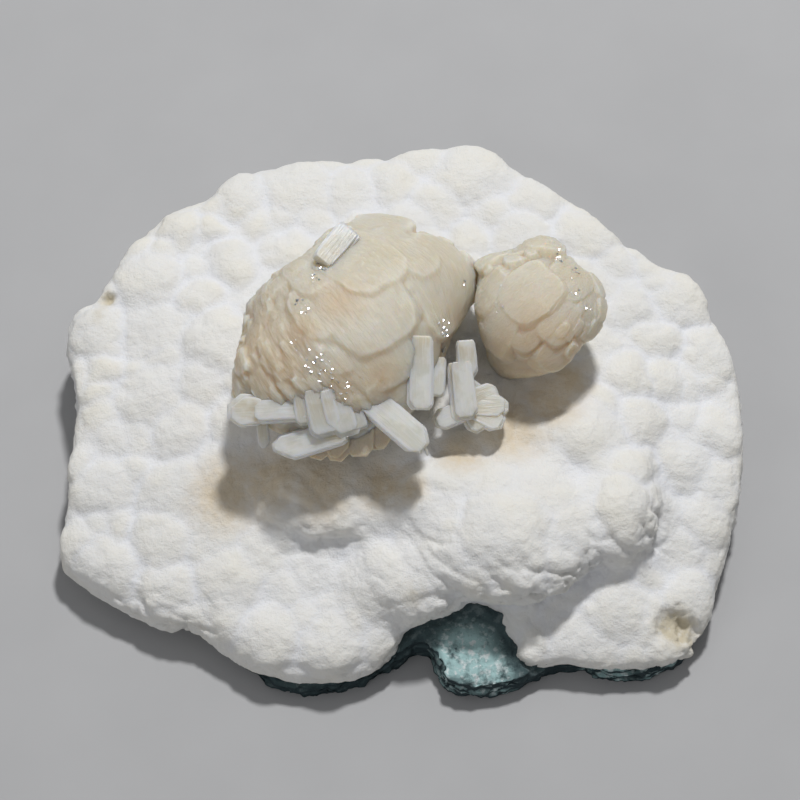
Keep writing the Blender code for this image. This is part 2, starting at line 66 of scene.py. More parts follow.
FRONT = (-18, -40)  # where along the plan the edge begins to fall, and falls fully
EDGE_FALL = 4  # how much lower the crust is right at its front edge
EDGE_REACH = 3.6  # and how fast that ends further in
CRUST_OUTLINE = (
    (70, 0), (69, -20), (65.5, -33), (62, -45), (58.5, -53), (53, -56), (41, -56.5),
    (32, -55.5), (25, -56), (21.5, -53), (19, -48), (14, -44), (7, -43.5), (2, -46),
    (0.5, -51.5), (-4, -56.5), (-11, -59), (-18, -59.5), (-26, -58), (-33, -55),
    (-41, -49), (-50, -47.5), (-57, -43.5), (-64, -38.5), (-69, -33), (-68, -22),
    (-67.5, -12), (-67, 2), (-69.5, 13), (-69, 19), (-64, 22), (-61, 28), (-55.5, 36),
    (-48, 44.5), (-41, 46), (-38, 51), (-32, 53.5), (-21.5, 55.5), (-11, 55.5),
    (0, 57.5), (9, 59), (15, 60), (21, 57), (27, 51.5), (34, 47), (40, 43), (43.5, 38.5),
    (50, 33.5), (54.5, 29.5), (59, 29.5), (62.5, 25), (64.5, 18.5), (67, 13), (69, 8),
)
CRUST_SPOTS = (
    (0, 50, 22), (-30, 42, 22), (32, 40, 22), (-52, 25, 21), (52, 22, 21), (-62, 8, 18),
    (64, 5, 18), (-35, 12, 23), (0, 20, 24), (38, 10, 24), (-60, -15, 15), (-45, -12, 19),
    (-62, -32, 11), (-45, -38, 13), (-30, -30, 17), (-30, -50, 11), (-12, -52, 11),
    (-14, -42, 14), (-20, -14, 23), (5, -8, 25), (22, -16, 25), (40, -12, 24), (4, -36, 18),
    (24, -32, 24), (42, -24, 22), (64, -14, 17), (62, -30, 13), (52, -34, 13), (42, -46, 12),
    (28, -50, 9), (58, -48, 9), (42, -54, 8), (24, -43, 11), (35, -39, 11), (45, -39, 15),
)
LUMPS = (
    (-52, 25, 7.5, 3.2), (-46, 38, 4.6, 2), (-40, 38, 3, 1.4), (-35, 29, 5.6, 2.3),
    (-23, 32, 5.6, 2.2), (-42, 21, 4.2, 1.7), (-38, 10, 7.6, 2.4), (-63, 14, 6, 2.6),
    (-61, 6, 4.2, 1.8), (-51, -1, 7.6, 2.6), (-21, 48, 8, 2.6), (-34, 46, 5.6, 2.2),
    (-11, 47, 6, 2.3), (-1, 49, 6.6, 2.3), (8, 44, 6.2, 2), (15, 52, 9, 3),
    (28, 45, 5.6, 2.2), (26, 35, 7.6, 2.8), (39, 36, 6.6, 2.4), (48, 19, 5.6, 2),
    (59, 21, 6.2, 2.6), (64, 9, 6.4, 2.4), (46.5, 2, 5.2, 2.2), (54, 2, 4.2, 1.8),
    (49, -9, 5.2, 1.8), (38, -13, 8, 2.4), (46, -19, 5, 1.8), (64, -9, 5.4, 2),
    (61, -27, 5.4, 1.8), (58, -43, 5.4, 2), (43, -45, 6.4, 2.2), (-59, -36, 6.6, 2.3),
    (-47, -41, 5.4, 1.8), (-26, -52, 6.4, 2.2), (-13, -53, 6.8, 2.2), (-60, -20, 6.2, 1.9),
    (-46, -22, 6.8, 1.8), (-34, -40, 6.4, 1.7), (-33, -8, 5.8, 1.8), (14, 34, 5, 1.8),
    (-8, 37, 4.6, 1.6), (53, 11, 4.6, 1.7), (57, -16, 4.8, 1.6), (-57, 34, 4.4, 1.6),
    (20.5, -36, 9.5, 2.6), (45, -30.5, 7, 2.2),
)
BULGES = (
    ((21, -31, 18.4), (20.2, 18, 9)),
    ((42.3, -26.2, 16.2), (10.6, 13.8, 9.8)),
    ((3, -39, 13.4), (12.5, 11.4, 7.2)),
    ((-6, -41, 11.6), (8, 8.6, 5.2)),
    ((7, -25, 17.6), (13, 10, 8.6)),
    ((-12, -22, 17), (19, 12.5, 7)),
    ((33, -14, 19), (11, 9, 7)),
)
# Broken hollows: x, y, reach, depth
PITS = (
    (54, -48.8, 3.4, 1.3), (57.6, -49.4, 2.4, 1), (-61, 21.5, 1.5, 1.8),
)
PIT_STRAY = (0.35, 1.3)  # how far their outlines wander, over what length
PIT_SHARPNESS = 6

# The crust's fine surface
CRUST_VOXEL = 0.55
CRUST_TRIANGLES = 190000
UNDERSIDE = (-0.7, 1.0)  # how far down it faces, and how high above its level it reaches
NODULES = ((3.2, 0.2), (1.5, 0.16))  # size and height of the small rounded nodules
NODULE_LEVEL = 0.6  # the share of a nodule that lies under the surface
GRAIN = ((5.5, 0.3), (1.9, 0.14))  # size and height of the uneven ground
# Where the crust is crumbly: x, y, reach
CRUMBLY = (
    (-14, -31, 12), (-22, -26, 9), (0, -43, 9), (8, -47, 7), (20, -47, 8), (31, -42, 8),
    (38, -38, 6), (49, -32, 7), (26, -46, 7), (-52, -43, 7), (-42, -48, 7), (54, -51, 6),
    (6, -38, 8),
)
CRUMBLY_SLOPES = (1.3, 0.2)  # how much steep ground crumbles, and the least anywhere
CRUMB = ((2.2, 0.6), (1.1, 0.4))
CRUMB_LEVEL = 0.7
CREASES = ((6, 1.3), (3, 0.7))  # size and depth of the creases on crumbly ground
CREASE_TURN = math.radians(-38)  # their way across the plan
CREASE_STRETCH = 0.38
CREASE_SHARPNESS = 5
WALL = ((5, 0.7), (1.8, 0.5), (0.9, 0.3))  # size and depth of the broken side wall
WALL_FLATNESS = 2.2  # how much longer the wall's ledges are than high
WALL_STEEPNESS = 1.6  # how soon a slope is no wall
WALL_INSET = 0.25
# Ochre stains: x, y, reach, and the painted warm brown shadow beside and under the sheaves, as of
# light passed through the crystal
STAINS = ((54.4, -49.2, 3.6), (-61, 21.5, 1.6))
FAINT_STAINS = ((2.6, -46.2, 3), (58.5, -50.5, 3), (-62.5, 17, 2.4))
FAINTNESS = 0.35
PAINTED_SHADOW_SPOTS = (
    (-35, -23, 9), (-26, -22, 9), (-16, -25, 8), (-4, -24, 7), (2, -26, 4), (12, -18, 6),
    (22, -12, 9), (30, -6, 8), (34, -1, 6),
)
# Where domes are lower: x, y, reach
CALM = (
    (20, -32, 15), (32, -28, 12), (2, -40, 12), (-14, -30, 13), (-24, -50, 12), (-10, -52, 10),
    (45, -45, 12), (-30, -32, 10), (62, -30, 8),
)
VALLEY_PASSES = 26
DOME_SMOOTHING = 4

# Offsets between one noise and others
NOISE_STEP = 37.3
WALL_NOISE = 3
WAVE_NOISE = 5
PIT_NOISE = 9
ROCK_NOISE = 11

# The rock's forms, the same as its solid's
ROCK_ROUNDING = 1.5
ROCK_REACH = 8
ROCK_ROOT = 3
ROCK_GRAIN = 6
ROCK_FLATNESS = 3  # how much longer its lumps are than high
ROCK_WOBBLE = (1.2, 0.9, 0.9)
ROCK_VOXEL = 0.6
ROCK_TRIANGLES = 90000
ROCK_RELIEF = ((3, 0.7), (1.4, 0.5), (0.9, 0.3))
ROCK_INSET = 0.3
# Painted light: the rock's blue-green coat shows on these lit patches, and the rest is painted
# shade
ROCK_LIT_PATCHES = ((13, -55, 6.5), (17, -57.5, 5), (40, -55, 5), (52, -54, 4))  # x, y, reach
ROCK_OUTLINE = (
    (63, 0), (63, -18), (60, -32), (58, -44), (57, -51), (53, -54.5), (42, -56.5),
    (36, -54.5), (29, -55.5), (21, -59.3), (14, -60), (9, -58.5), (7, -54), (4, -50.5),
    (0, -53), (-5, -56), (-12, -58.5), (-20, -59.4), (-28, -56), (-35, -49), (-47, -41),
    (-58, -35), (-63, -27), (-62, -10), (-63, 5), (-64, 15), (-57, 25), (-49, 37),
    (-38, 46), (-28, 50), (-10, 51), (8, 54), (17, 54), (29, 46), (39, 39), (52, 30),
    (58, 25), (61, 14),
)
ROCK_SPOTS = (
    (0, 0, 6.5), (-40, 20, 6), (-45, -20, 7), (-20, -45, 5), (-10, 40, 7), (35, 30, 6),
    (50, 0, 7), (35, -20, 6.5), (12, -48, 11), (16, -54, 9.5), (14, -62, 3), (40, -50, 5),
    (4, -56, 5), (54, -44, 5.5), (28, -58, 4.5), (-50, 0, 5), (-20, -60, 3.5),
)

# The sheaves' bodies, the same as their solids'
BODY_SHARE = 0.92
SINGLE_FACE = (0.0, -0.34, 0.94)
FACE_STRAY = 0.12
LARGE = {
    "seed": 5,
    "root": (-1, -6, 27),
    "centre": (-9.6, 4.8, 32),
    "radii": (28.5, 25.5, 18.5),
    "turn": 25,
    "dents": ((-22, 0.34, 24), (129, 0.42, 17), (156, 0.17, 13), (184, 0.24, 13),
              (5, 0.08, 14), (27, -0.08, 12)),
    "stem_depth": 12.5,
    "stem_pull": 0.5,
    "size": 25,
}
SMALL = {
    "seed": 8,
    "root": (16, -1, 28),
    "centre": (27.4, 8.6, 35.5),
    "radii": (13, 14.2, 9.4),
    "turn": 0,
    "dents": ((-160, 0.08, 24), (140, -0.14, 12), (118, 0.17, 12), (84, -0.11, 10),
              (42, 0.15, 14), (-40, 0.16, 16)),
    "stem_depth": 14.5,
    "stem_pull": 0.62,
    "size": 12.5,
}
# A sheaf's surface is a grid of meridians, which leave the root and meet again at the far
# side. A place on it is an angle from the root and an angle around, which starts on top
# and goes towards the front left. Lobes are the broad ends of crystals: place, half
# length along the meridian, half width, height, and how much it rises to its far end and
# to its left, for each millimetre, if it does.
LARGE_LOBES = (
    (132.5, -66, 5.6, 8, 2.5, 0, -0.14), (88, -44, 12, 10, 1.7, 0, -0.02),
    (106, -54, 6, 5.6, 0.9, 0, -0.05), (121, -14, 8.5, 6.6, 2.1, 0, -0.02),
    (98, 1, 9, 7.8, 1.7, -0.02, -0.04), (113, -36, 7.5, 5.2, 2, 0, 0.03),
    (74, 8, 7.5, 6, 1.2, -0.02, -0.04), (62, -14, 6.5, 5, 1.2, 0, -0.05),
    (134, 8, 7, 4.6, 1.9, 0.02, 0.05), (112, 20, 6.5, 3.6, 1.5, 0, 0.08),
    (92, 24, 6, 3.2, 1.2, 0, 0.08), (90, -76, 9, 5.4, 0.3),
    (112, -76, 1.8, 4, 1.9), (104, -78, 1.6, 4, 2.7),
    (97, -80, 1.6, 4, 1.8), (90, -80, 1.8, 4, 2.9),
    (81, -80, 2, 4, 2.2), (140, 14, 2.4, 2.2, 2.3),
    (139, 27, 2.6, 2.4, 1.8), (138, 40, 2.6, 2.4, 1.8),
    (130, 50, 3, 2.6, 1.6), (119, 56, 3, 2.4, 1.5),
    (110, 68, 2.6, 2.4, 2.4), (103, 80, 2.8, 2.4, 2.2),
)
SMALL_LOBES = (
    (143, 62, 3.6, 3.4, 2.8), (98, 66, 3.4, 3.4, 2.8, 0, 0.05),
    (106, 2, 5.6, 5, 2, 0.03, -0.04), (58, 4, 5.6, 4.2, 1.6),
    (128, -70, 5, 4, 1.7, 0, -0.05), (146, -18, 4.6, 4.2, 2, 0.05, 0),
    (92, -58, 6, 3.8, 1.5, 0, -0.08), (78, 34, 4.6, 3, 1.9),
    (106, -38, 4.4, 3.4, 1.7, 0, -0.06), (84, -18, 5, 3.6, 1.4),
    (158, -84, 2.2, 2, 2.6), (136, -88, 2.4, 2, 2.4),
    (118, -84, 2.4, 2.2, 2.2), (124, 66, 1.8, 2.4, 2.6),
)
# Scattered crystals of a kind: first and last angle from the root, first and last angle
# around, count, smallest and largest half length, half width and height
LARGE_SCATTER = (
    ((40, 175), (-64, 230), 150, (3, 7), (2, 4.4), (0.4, 1.6)),
    ((40, 175), (-130, -70), 44, (2, 5), (1.6, 3.4), (0.2, 0.9)),
    ((60, 150), (24, 110), 340, (2, 5.5), (0.4, 0.9), (0.7, 1.1)),
    ((60, 150), (108, 200), 90, (3, 7), (0.8, 1.8), (0.6, 1.6)),
    ((70, 120), (-104, -64), 60, (0.5, 1.2), (0.8, 1.8), (1.6, 2.8)),
    ((128, 160), (-60, 10), 36, (0.9, 2), (0.8, 1.6), (1.2, 2.2)),
    ((96, 160), (70, 106), 70, (0.6, 1.6), (0.6, 1.4), (1.2, 2.4)),
)
SMALL_SCATTER = (
    ((40, 170), (-180, 180), 90, (2, 4.6), (1.4, 3), (0.2, 1.3)),
    ((92, 160), (-104, -40), 50, (0.8, 1.8), (0.7, 1.4), (1.2, 2.2)),
    ((90, 160), (40, 100), 40, (0.7, 1.5), (0.6, 1.3), (1.4, 2.8)),
    ((50, 130), (-120, -76), 40, (2.5, 5), (0.5, 1), (0.2, 1)),
)
SCATTER_TILT = 0.10  # how much a scattered crystal's face may rise for each millimetre
LOBE_SQUARENESS = 3  # of a lobe's outline: 2 is an ellipse
LOBE_SAG = 0.03  # how far a lobe's rim lies below its middle, for each half width
LOBE_FLATNESS = 0.28  # how much flatter than the dome the lobes are, up to 1
LOBE_SLOPE = 0.9  # of its sides
RIM_SLOPE = 2.2  # of the sides of the high ones, at the rims
RIM_TOP = 2.3
KNOB_LENGTH = 2.5  # half a length, below which a crystal's sides are as steep
LOBE_SKIRT = 3  # how far the sides are followed
LOBE_STRAY = (0.6, 3.2)  # how far the outlines wander, and over what length
MERIDIANS = 640
PARALLELS = 150
GRID_WELD = 1e-5
FIBRES = ((9, 0.07), (28, 0.05))  # striations: how many for each radian, and depth
FIBRE_DRIFT = 0.8  # how soon a striation gives way to another along its length
POLE_LIMIT = 0.05  # where striations stop narrowing at the ends
# Terraces of small crystal ends: length, width, step, and rise to the far end
TERRACES = ((3.6, 1.6, 0.12, 0.10), (1.8, 0.7, 0.07, 0.07))
TERRACED_FROM = (10, 40)  # degrees around, where the terraces begin and are whole
TERRACES_ELSEWHERE = 0.3
WAVES = (2.6, 0.10)
SHEAF_SMOOTHING = 1
CREVICE_PASSES = 30
# Warm brown parts of the sheaves, partly the crystal's own tan, partly a painted glow of light
# passed through their undersides: x, y, reach
TAN_AND_GLOW_SPOTS = (
    (-12, 2, 4.5), (9, -5, 4.5), (13, 4, 4), (-24, -10, 7), (-12, -15, 5), (26, -2, 7),
    (-32, -2, 9), (-20, -4, 4), (-4, -12, 4), (33, -2, 5), (20, -3, 5),
)
# Single crystals: root, end, width, thickness, and how far the left and right corners of
# the end are clipped, for each of the width
LARGE_SINGLES = (
    ((-12.4, -16.2, 40), (-28.9, -15.5, 37.2), 4.9, 2.8, (0.3, 0.3)),
    ((-27, -14.6, 36.6), (-34.1, -14.2, 35.4), 6.6, 4.2, (0.4, 0.4)),
    ((-27.4, -15, 34.8), (-26.8, -20.1, 31), 2.4, 1.7, (0.4, 0.4)),
    ((-10.9, -19.6, 37), (-25, -22, 33), 5.6, 2.8, (0.5, 0.35)),
    ((-16.6, -13.2, 42.6), (-14.2, -21.2, 37.6), 6.6, 2.2, (0.4, 0.2)),
    ((-13.4, -13.2, 42.8), (-10.6, -21.2, 37.4), 6.2, 2.2, (0.15, 0.35)),
    ((-10.6, -13.6, 41.6), (-8, -19.6, 37.4), 4, 2, (0.2, 0.4)),
    ((-19, -13.4, 41.2), (-18, -18.8, 38), 4.8, 2.2, (0.4, 0.25)),
    ((-9.6, -11.4, 41), (4.7, -22.8, 36), 6.2, 2.6, (0.35, 0.45)),
    ((3.9, -2.6, 44.6), (3.7, -15.9, 38.8), 5.3, 2.8, (0.25, 0.3)),
    ((7.7, -3.6, 38), (7.1, -11.4, 36.2), 2.9, 1.8, (0.2, 0.2)),
    ((-15.6, 11, 50.1), (-10, 19.2, 49.8), 5.3, 2, (0.12, 0.12)),
    ((3, -21.4, 36.4), (4, -23.7, 35.2), 0.7, 0.6, (0.45, 0.45)),
    ((4.3, -21.4, 36.2), (5.2, -23.9, 34.8), 0.7, 0.6, (0.45, 0.45)),
)
# The tan plates that the sheaf ends in below them
LARGE_PLATES = (
    ((-5.7, -13, 38.4), (-4.6, -20.6, 31.4), 5.4, 2.4, (0.4, 0.4)),
    ((-3.4, -11.6, 38), (-1.2, -18.2, 32.2), 4.6, 2.2, (0.3, 0.5)),
    ((-8, -14, 37.6), (-8.2, -22, 31), 5.8, 2.4, (0.4, 0.35)),
    ((-11.5, -15, 37.2), (-12.6, -22.9, 30.8), 5.6, 2.4, (0.4, 0.4)),
    ((-14.6, -15, 36.6), (-17, -22.4, 30.8), 5.4, 2.2, (0.45, 0.35)),
    ((-17.5, -14.6, 36.4), (-20.8, -20.8, 31.2), 5.4, 2.2, (0.45, 0.3)),
)
SPRAY_CRYSTALS = (
    ((15, -4, 19), (13.5, -8, 32), 6, 5, (0.3, 0.3)),
    ((12.7, 0.1, 38.8), (13.3, -6.6, 34.9), 4.2, 2.4, (0.3, 0.3)),
    ((11.5, -3.6, 36.4), (12.7, -14.2, 31.8), 5.4, 2.8, (0.25, 0.2)),
    ((13.7, -11.3, 31.5), (6.5, -14.1, 30.5), 4.4, 2.8, (0.35, 0.35)),
    ((12.9, -10, 31.2), (19.2, -7.6, 32), 4.6, 2.4, (0.3, 0.3)),
    ((12.9, -10.5, 31), (21.4, -10.6, 31), 5, 2.4, (0.35, 0.3)),
    ((13.3, -10.7, 30.6), (20.4, -13.9, 29.5), 5, 2.4, (0.3, 0.3)),
    ((13.3, -10.8, 30.2), (16, -15.2, 29), 4.6, 2.4, (0.3, 0.3)),
)
ROOT_WIDTHS = (0.38, 0.46)  # half the width at a crystal's root, and where it has widened
ROOT_TAPER = 0.20  # how far up its root a crystal widens, for each of its width
CLIP_SHARE = 0.75  # how far a clip goes across the end, for each of its length
LAYERS = 3
LAYER_WIDTHS = (0.82, 0.96)
LAYER_STEPS = (0.03, 0.18)
LAYER_CLIPS = (0.7, 1.4)
LAYER_OVERLAP = 1.3
SINGLES_SEED = 21
SPRAY_SEED = 22
PLATES_SEED = 23
PLATE_WARMTH = 0.55
CRYSTAL_BEVEL = 0.22
BEVEL_STEPS = 2
# Clusters of small level faces that flash: x, y, reach and count, in the sheaves' plans
LARGE_GLINTS = (
    (-15.8, 11, 2.2, 12), (-17, 7.5, 1.2, 6), (-19.5, 1.5, 2.2, 13), (-20.6, -5.8, 1.4, 5),
    (-16.3, -9.2, 2.6, 18), (-14.4, -13, 2.4, 14), (-10.8, -14.2, 1.6, 7), (8.4, -0.6, 1.9, 22),
    (9.6, 1.6, 1.6, 8), (11.8, 12.6, 1.2, 3),
)
SMALL_GLINTS = (
    (31, 16.4, 2, 7), (35.1, 13.6, 1.4, 5), (20, 8.5, 0.9, 2), (19.2, 5, 1.2, 4),
    (37.2, 4.8, 1.2, 4), (33.5, 9, 2.4, 4),
)
GLINT_WAY = (0.067, -0.056, 1.0)
GLINT_SIZES = (0.2, 0.65)
GLINT_ASPECTS = (0.5, 1.0)
GLINT_STRAY = 0.07
GLINT_LIFT = 0.05  # share of its size that a face's middle lies above the sheaf
GLINT_DEPTH = 0.5
GLINT_SEED = 31

# Colours
CRUST_TOPS = ((0.84, 0.83, 0.80), (0.86, 0.835, 0.765))
CRUST_VALLEYS = (0.84, 0.845, 0.865)
# Painted shadow: warm brown, as of light passed through the stilbite
PAINTED_SHADOW_TAN = (0.74, 0.64, 0.49)
PIT_OCHRE = (0.64, 0.58, 0.45)
# Dark basalt, and painted shade where the coat is not lit
ROCK_DARK_AND_SHADE = (0.020, 0.040, 0.047)
ROCK_COAT = (0.42, 0.62, 0.62)
ROCK_FLECKS = (0.74, 0.80, 0.80)
STILBITE_CLOUDS = ((0.64, 0.585, 0.46), (0.67, 0.635, 0.545))
STILBITE_FIBRES = (0.74, 0.70, 0.60)
STILBITE_WARM = (0.64, 0.525, 0.38)
# Painted highlight on the lobes' ridges
STILBITE_RIDGE_HIGHLIGHT = (0.79, 0.76, 0.68)
# Painted shade: warm tan in the hollows between the lobes
STILBITE_HOLLOW_SHADE = (0.68, 0.555, 0.38)
BLADE_ROOTS = (0.78, 0.72, 0.59)
BLADE_ENDS = (0.79, 0.78, 0.71)
BLADE_CLOUDS = (0.94, 0.92, 0.87)
BLADE_LINES = (0.96, 0.95, 0.91)
# Painted highlight on the blades' thin edges
BLADE_EDGE_HIGHLIGHT = (0.96, 0.95, 0.93)
GLINT_CLOUDS = ((0.76, 0.70, 0.58), (0.82, 0.79, 0.70))
FLOOR_GREYS = ((0.44, 0.44, 0.445), (0.46, 0.46, 0.465))

# How deep light goes into crystal, in metres
SHEAF_DEPTH = 0.007
PLATE_DEPTH = 0.002
BLADE_DEPTH = 0.003
FACE_DEPTH = 0.006
CRYSTAL_IOR = 1.5

# Relief of the finishes: a noise's scale, detail and roughness, depth in metres, strength
CRUST_SKIN = ((800, 5, 0.65, 0.0006, 0.7), (2600, 4, 0.7, 0.0002, 0.6))
ROCK_SKIN = ((1500, 5, 0.7, 0.0005, 0.9),)
STILBITE_SKIN = ((1100, 4, 0.65, 0.0002, 0.5),)

# Lights: the way to them, distance, size, power
KEY_LIGHT = ((0.12, 0.40, 0.91), 1.2, 0.13, 10.0)
FILL_LIGHT = ((-0.6, -0.6, 0.6), 1.5, 0.9, 2.4)
SKY_COLOUR = (0.95, 0.97, 1.0)
SKY_STRENGTH = 0.22
FLOOR_SIZE = 3


# Mesh tools


def linked(name, data):
    item = bpy.data.objects.new(name, data)
    bpy.context.scene.collection.objects.link(item)
    return item


def object_from(bm, name):
    mesh = bpy.data.meshes.new(name)
    bm.to_mesh(mesh)
    bm.free()
    return linked(name, mesh)


def evaluated_mesh(item):
    bpy.context.view_layer.update()
    evaluated = item.evaluated_get(bpy.context.evaluated_depsgraph_get())
    return bpy.data.meshes.new_from_object(evaluated)


def modify(item, kind, **settings):
    """Shapes an object's mesh with one modifier."""
    modifier = item.modifiers.new(kind, kind)
    for name, value in settings.items():
        setattr(modifier, name, value)
    mesh = evaluated_mesh(item)
    item.modifiers.clear()
    item.data = mesh


def remesh(item, voxel):
    modify(item, "REMESH", mode="VOXEL", voxel_size=voxel)


def smooth(item, iterations):
    modify(item, "SMOOTH", iterations=iterations)


def decimate(item, triangles, group=""):
    """Brings a mesh down to about a number of triangles, only where the group is, if any."""
    item.data.calc_loop_triangles()
    share = min(1.0, triangles / len(item.data.loop_triangles))
    modify(item, "DECIMATE", ratio=share, vertex_group=group)


def vectors(items, name):
    values = np.empty(len(items) * 3, dtype=np.float32)
    items.foreach_get(name, values)
    return values.reshape(-1, 3).astype(float)


def coordinates(mesh):
    return vectors(mesh.vertices, "co")


def normals_of(mesh):
    return vectors(mesh.vertex_normals, "vector")


def set_coordinates(mesh, co):
    mesh.vertices.foreach_set("co", co.astype(np.float32).ravel())
    mesh.update()


def set_attribute(mesh, name, values):
    """Keeps a number or a vector for each of the mesh's points."""
    kind, field = ("FLOAT", "value") if values.ndim == 1 else ("FLOAT_VECTOR", "vector")
    layer = mesh.attributes.new(name, kind, "POINT")
    layer.data.foreach_set(field, values.astype(np.float32).ravel())


def relaxed(mesh, passes):
    """The mesh's points after many rounds of moving each to the mean of its neighbours."""
    ends = np.empty(len(mesh.edges) * 2, dtype=np.int32)
    mesh.edges.foreach_get("vertices", ends)
    first, second = ends.reshape(-1, 2).T
    co = coordinates(mesh)
    count = len(co)
    degree = np.bincount(first, minlength=count) + np.bincount(second, minlength=count)
    for _ in range(passes):
        total = np.stack([
            np.bincount(first, weights=co[second, axis], minlength=count)
            + np.bincount(second, weights=co[first, axis], minlength=count)
            for axis in range(3)
        ], axis=1)
        co = 0.5 * co + 0.5 * total / np.maximum(degree, 1)[:, None]
    return co


def hollowness(mesh, passes):
    """How far each point lies under its relaxed place, in millimetres: high in valleys."""
    return ((relaxed(mesh, passes) - coordinates(mesh)) * normals_of(mesh)).sum(axis=1)


def rough(co, size, offset=0.0):
    """Smooth noise between about -1 and 1, with bumps of a size."""
    shift = Vector((offset, offset, offset))
    return np.array([noise.noise(Vector(point) / size + shift) for point in co])


def nodular(co, size):
    """Rounded nodules side by side, between 0 in their seams and 1 on top."""
    nearest = np.array([noise.voronoi(Vector(point) / size)[0][0] for point in co])
    return 1.0 - np.minimum(nearest, 1.0) ** 2


def near_spots(co, spots):
    """How near points are in plan to any of some spots, between 0 and 1."""
    strongest = np.zeros(len(co))
    for x, y, reach in spots:
        away = ((co[:, 0] - x) ** 2 + (co[:, 1] - y) ** 2) / (reach * reach)
        strongest = np.maximum(strongest, np.exp(-away))
    return strongest


def place(item, material, name, rounded=True):
    """Moves a finished shape to its place in metres, names it, and gives it its finish."""
    shift = Matrix.Translation((-PLAN_MIDDLE[0], -PLAN_MIDDLE[1], 0))
    item.data.transform(Matrix.Scale(MM, 4) @ shift)
    item.name = name
    item.data.name = name
    item.data.materials.clear()
    item.data.materials.append(material)
    for polygon in item.data.polygons:
        polygon.use_smooth = rounded
    return item


# The crust and the rock


def spot_heights(spots, reach, x, y):
    """Blends the heights of the spots near places of the plan."""
    total, weights = np.zeros(len(x)), np.zeros(len(x))
    for sx, sy, height in spots:
        weight = np.exp(-((x - sx) ** 2 + (y - sy) ** 2) / (2 * reach * reach)) + 1e-9
        total += weight * height
        weights += weight
    return total / weights


def flat_blank(name, outline, rounding):
    """A flat slab with rounded edges, its plan a smooth closed curve."""
    curve = bpy.data.curves.new(name, "CURVE")
    curve.dimensions = "2D"
    curve.fill_mode = "BOTH"
    curve.extrude = SLAB_THICKNESS / 2 - rounding
    curve.bevel_depth = rounding
    curve.bevel_resolution = ROUNDING_STEPS
    curve.offset = -rounding
    curve.resolution_u = OUTLINE_STEPS
    spline = curve.splines.new("BEZIER")
    spline.bezier_points.add(len(outline) - 1)
    for point, (x, y) in zip(spline.bezier_points, outline):
        point.co = (x, y, 0)
        point.handle_left_type = "AUTO"
        point.handle_right_type = "AUTO"
    spline.use_cyclic_u = True
    drawn = linked(name, curve)
    mesh = evaluated_mesh(drawn)
    bpy.data.objects.remove(drawn, do_unlink=True)
    bm = bmesh.new()
    bm.from_mesh(mesh)
    bmesh.ops.remove_doubles(bm, verts=bm.verts, dist=WELD)
    return object_from(bm, name)


def add_bulges(item):
    bm = bmesh.new()
    bm.from_mesh(item.data)
    for centre, radii in BULGES:
        matrix = Matrix.Translation(centre) @ Matrix.Diagonal((*radii, 1.0))
        bmesh.ops.create_icosphere(bm, subdivisions=BULGE_SUBDIVISIONS, radius=1.0, matrix=matrix)
    bm.to_mesh(item.data)
    bm.free()


def crust_domes():
    """The listed lumps, and lower domes that fill the ground between them."""
    rng = random.Random(FILLING_SEED)
    domes = [(x, y, radius, LUMP_SHARE * rise) for x, y, radius, rise in LUMPS]
    wide, deep = FILLING_PLAN
    for _ in range(FILLING_TRIES):
        x, y = rng.uniform(-wide, wide), rng.uniform(-deep, deep)
        radius = rng.uniform(*FILLING_RADII)
        rise = rng.uniform(*FILLING_RISES) * radius
        spacing = (math.hypot(x - tx, y - ty) / (radius + tr) for tx, ty, tr, _ in domes)
        if min(spacing) > DOME_SPACING:
            calm = near_spots(np.array([(x, y)]), CALM)[0]
            domes.append((x, y, radius, rise * (1 - CALM_SHARE * calm)))
    return domes


def dome_relief(domes, x, y):
    """How far the domes raise places of the plan, with creases where they meet."""
    relief = np.full(len(x), -VALLEY_DEPTH)
    for dx, dy, radius, rise in domes:
        share = ((x - dx) ** 2 + (y - dy) ** 2) / radius ** 2
        relief = np.maximum(relief, rise * (1 - share))
    return relief


def raise_domes(item):
    """Moves what faces up out along its normals, by the relief of the domes there."""
    mesh = item.data
    co, normals = coordinates(mesh), normals_of(mesh)
    x, y = co[:, 0].copy(), co[:, 1].copy()
    for stray, length in DOME_STRAYS:
        x += stray * rough(co, length)
        y += stray * rough(co, length, NOISE_STEP)
    facing = np.clip(normals[:, 2] * FACING_GAIN, 0.0, 1.0)
    set_coordinates(mesh, co + normals * (dome_relief(crust_domes(), x, y) * facing)[:, None])


def edge_fall(x, y):
    """How much lower the crust is near its front edge."""
    near = np.full(len(x), np.inf)
    points = np.array(CRUST_OUTLINE, float)
    for first, second in zip(points, np.roll(points, -1, axis=0)):
        along = second - first
        share = ((x - first[0]) * along[0] + (y - first[1]) * along[1]) / (along @ along)
        share = np.clip(share, 0, 1)
        near = np.minimum(near, np.hypot(x - first[0] - share * along[0],
                                         y - first[1] - share * along[1]))
    start, full = FRONT
    front = np.clip((start - y) / (start - full), 0, 1)
    return EDGE_FALL * front * np.exp(-near / EDGE_REACH)


def crust_form():
    """The crust's main form: a warped slab with its big bulges and its domes."""
    crust = flat_blank("crust", CRUST_OUTLINE, EDGE_ROUNDING)
    remesh(crust, BLANK_VOXEL)
    co = coordinates(crust.data)
    top = spot_heights(CRUST_SPOTS, SPOT_REACH, co[:, 0], co[:, 1])
    top -= edge_fall(co[:, 0], co[:, 1])
    level = co[:, 2] / SLAB_THICKNESS + 0.5
    co[:, 2] = CRUST_UNDERSIDE + level * (top - CRUST_UNDERSIDE)
    set_coordinates(crust.data, co)
    add_bulges(crust)
    remesh(crust, BLANK_VOXEL)
    smooth(crust, BULGE_SMOOTHING)
    remesh(crust, CRUST_VOXEL)
    raise_domes(crust)
    smooth(crust, DOME_SMOOTHING)
    return crust


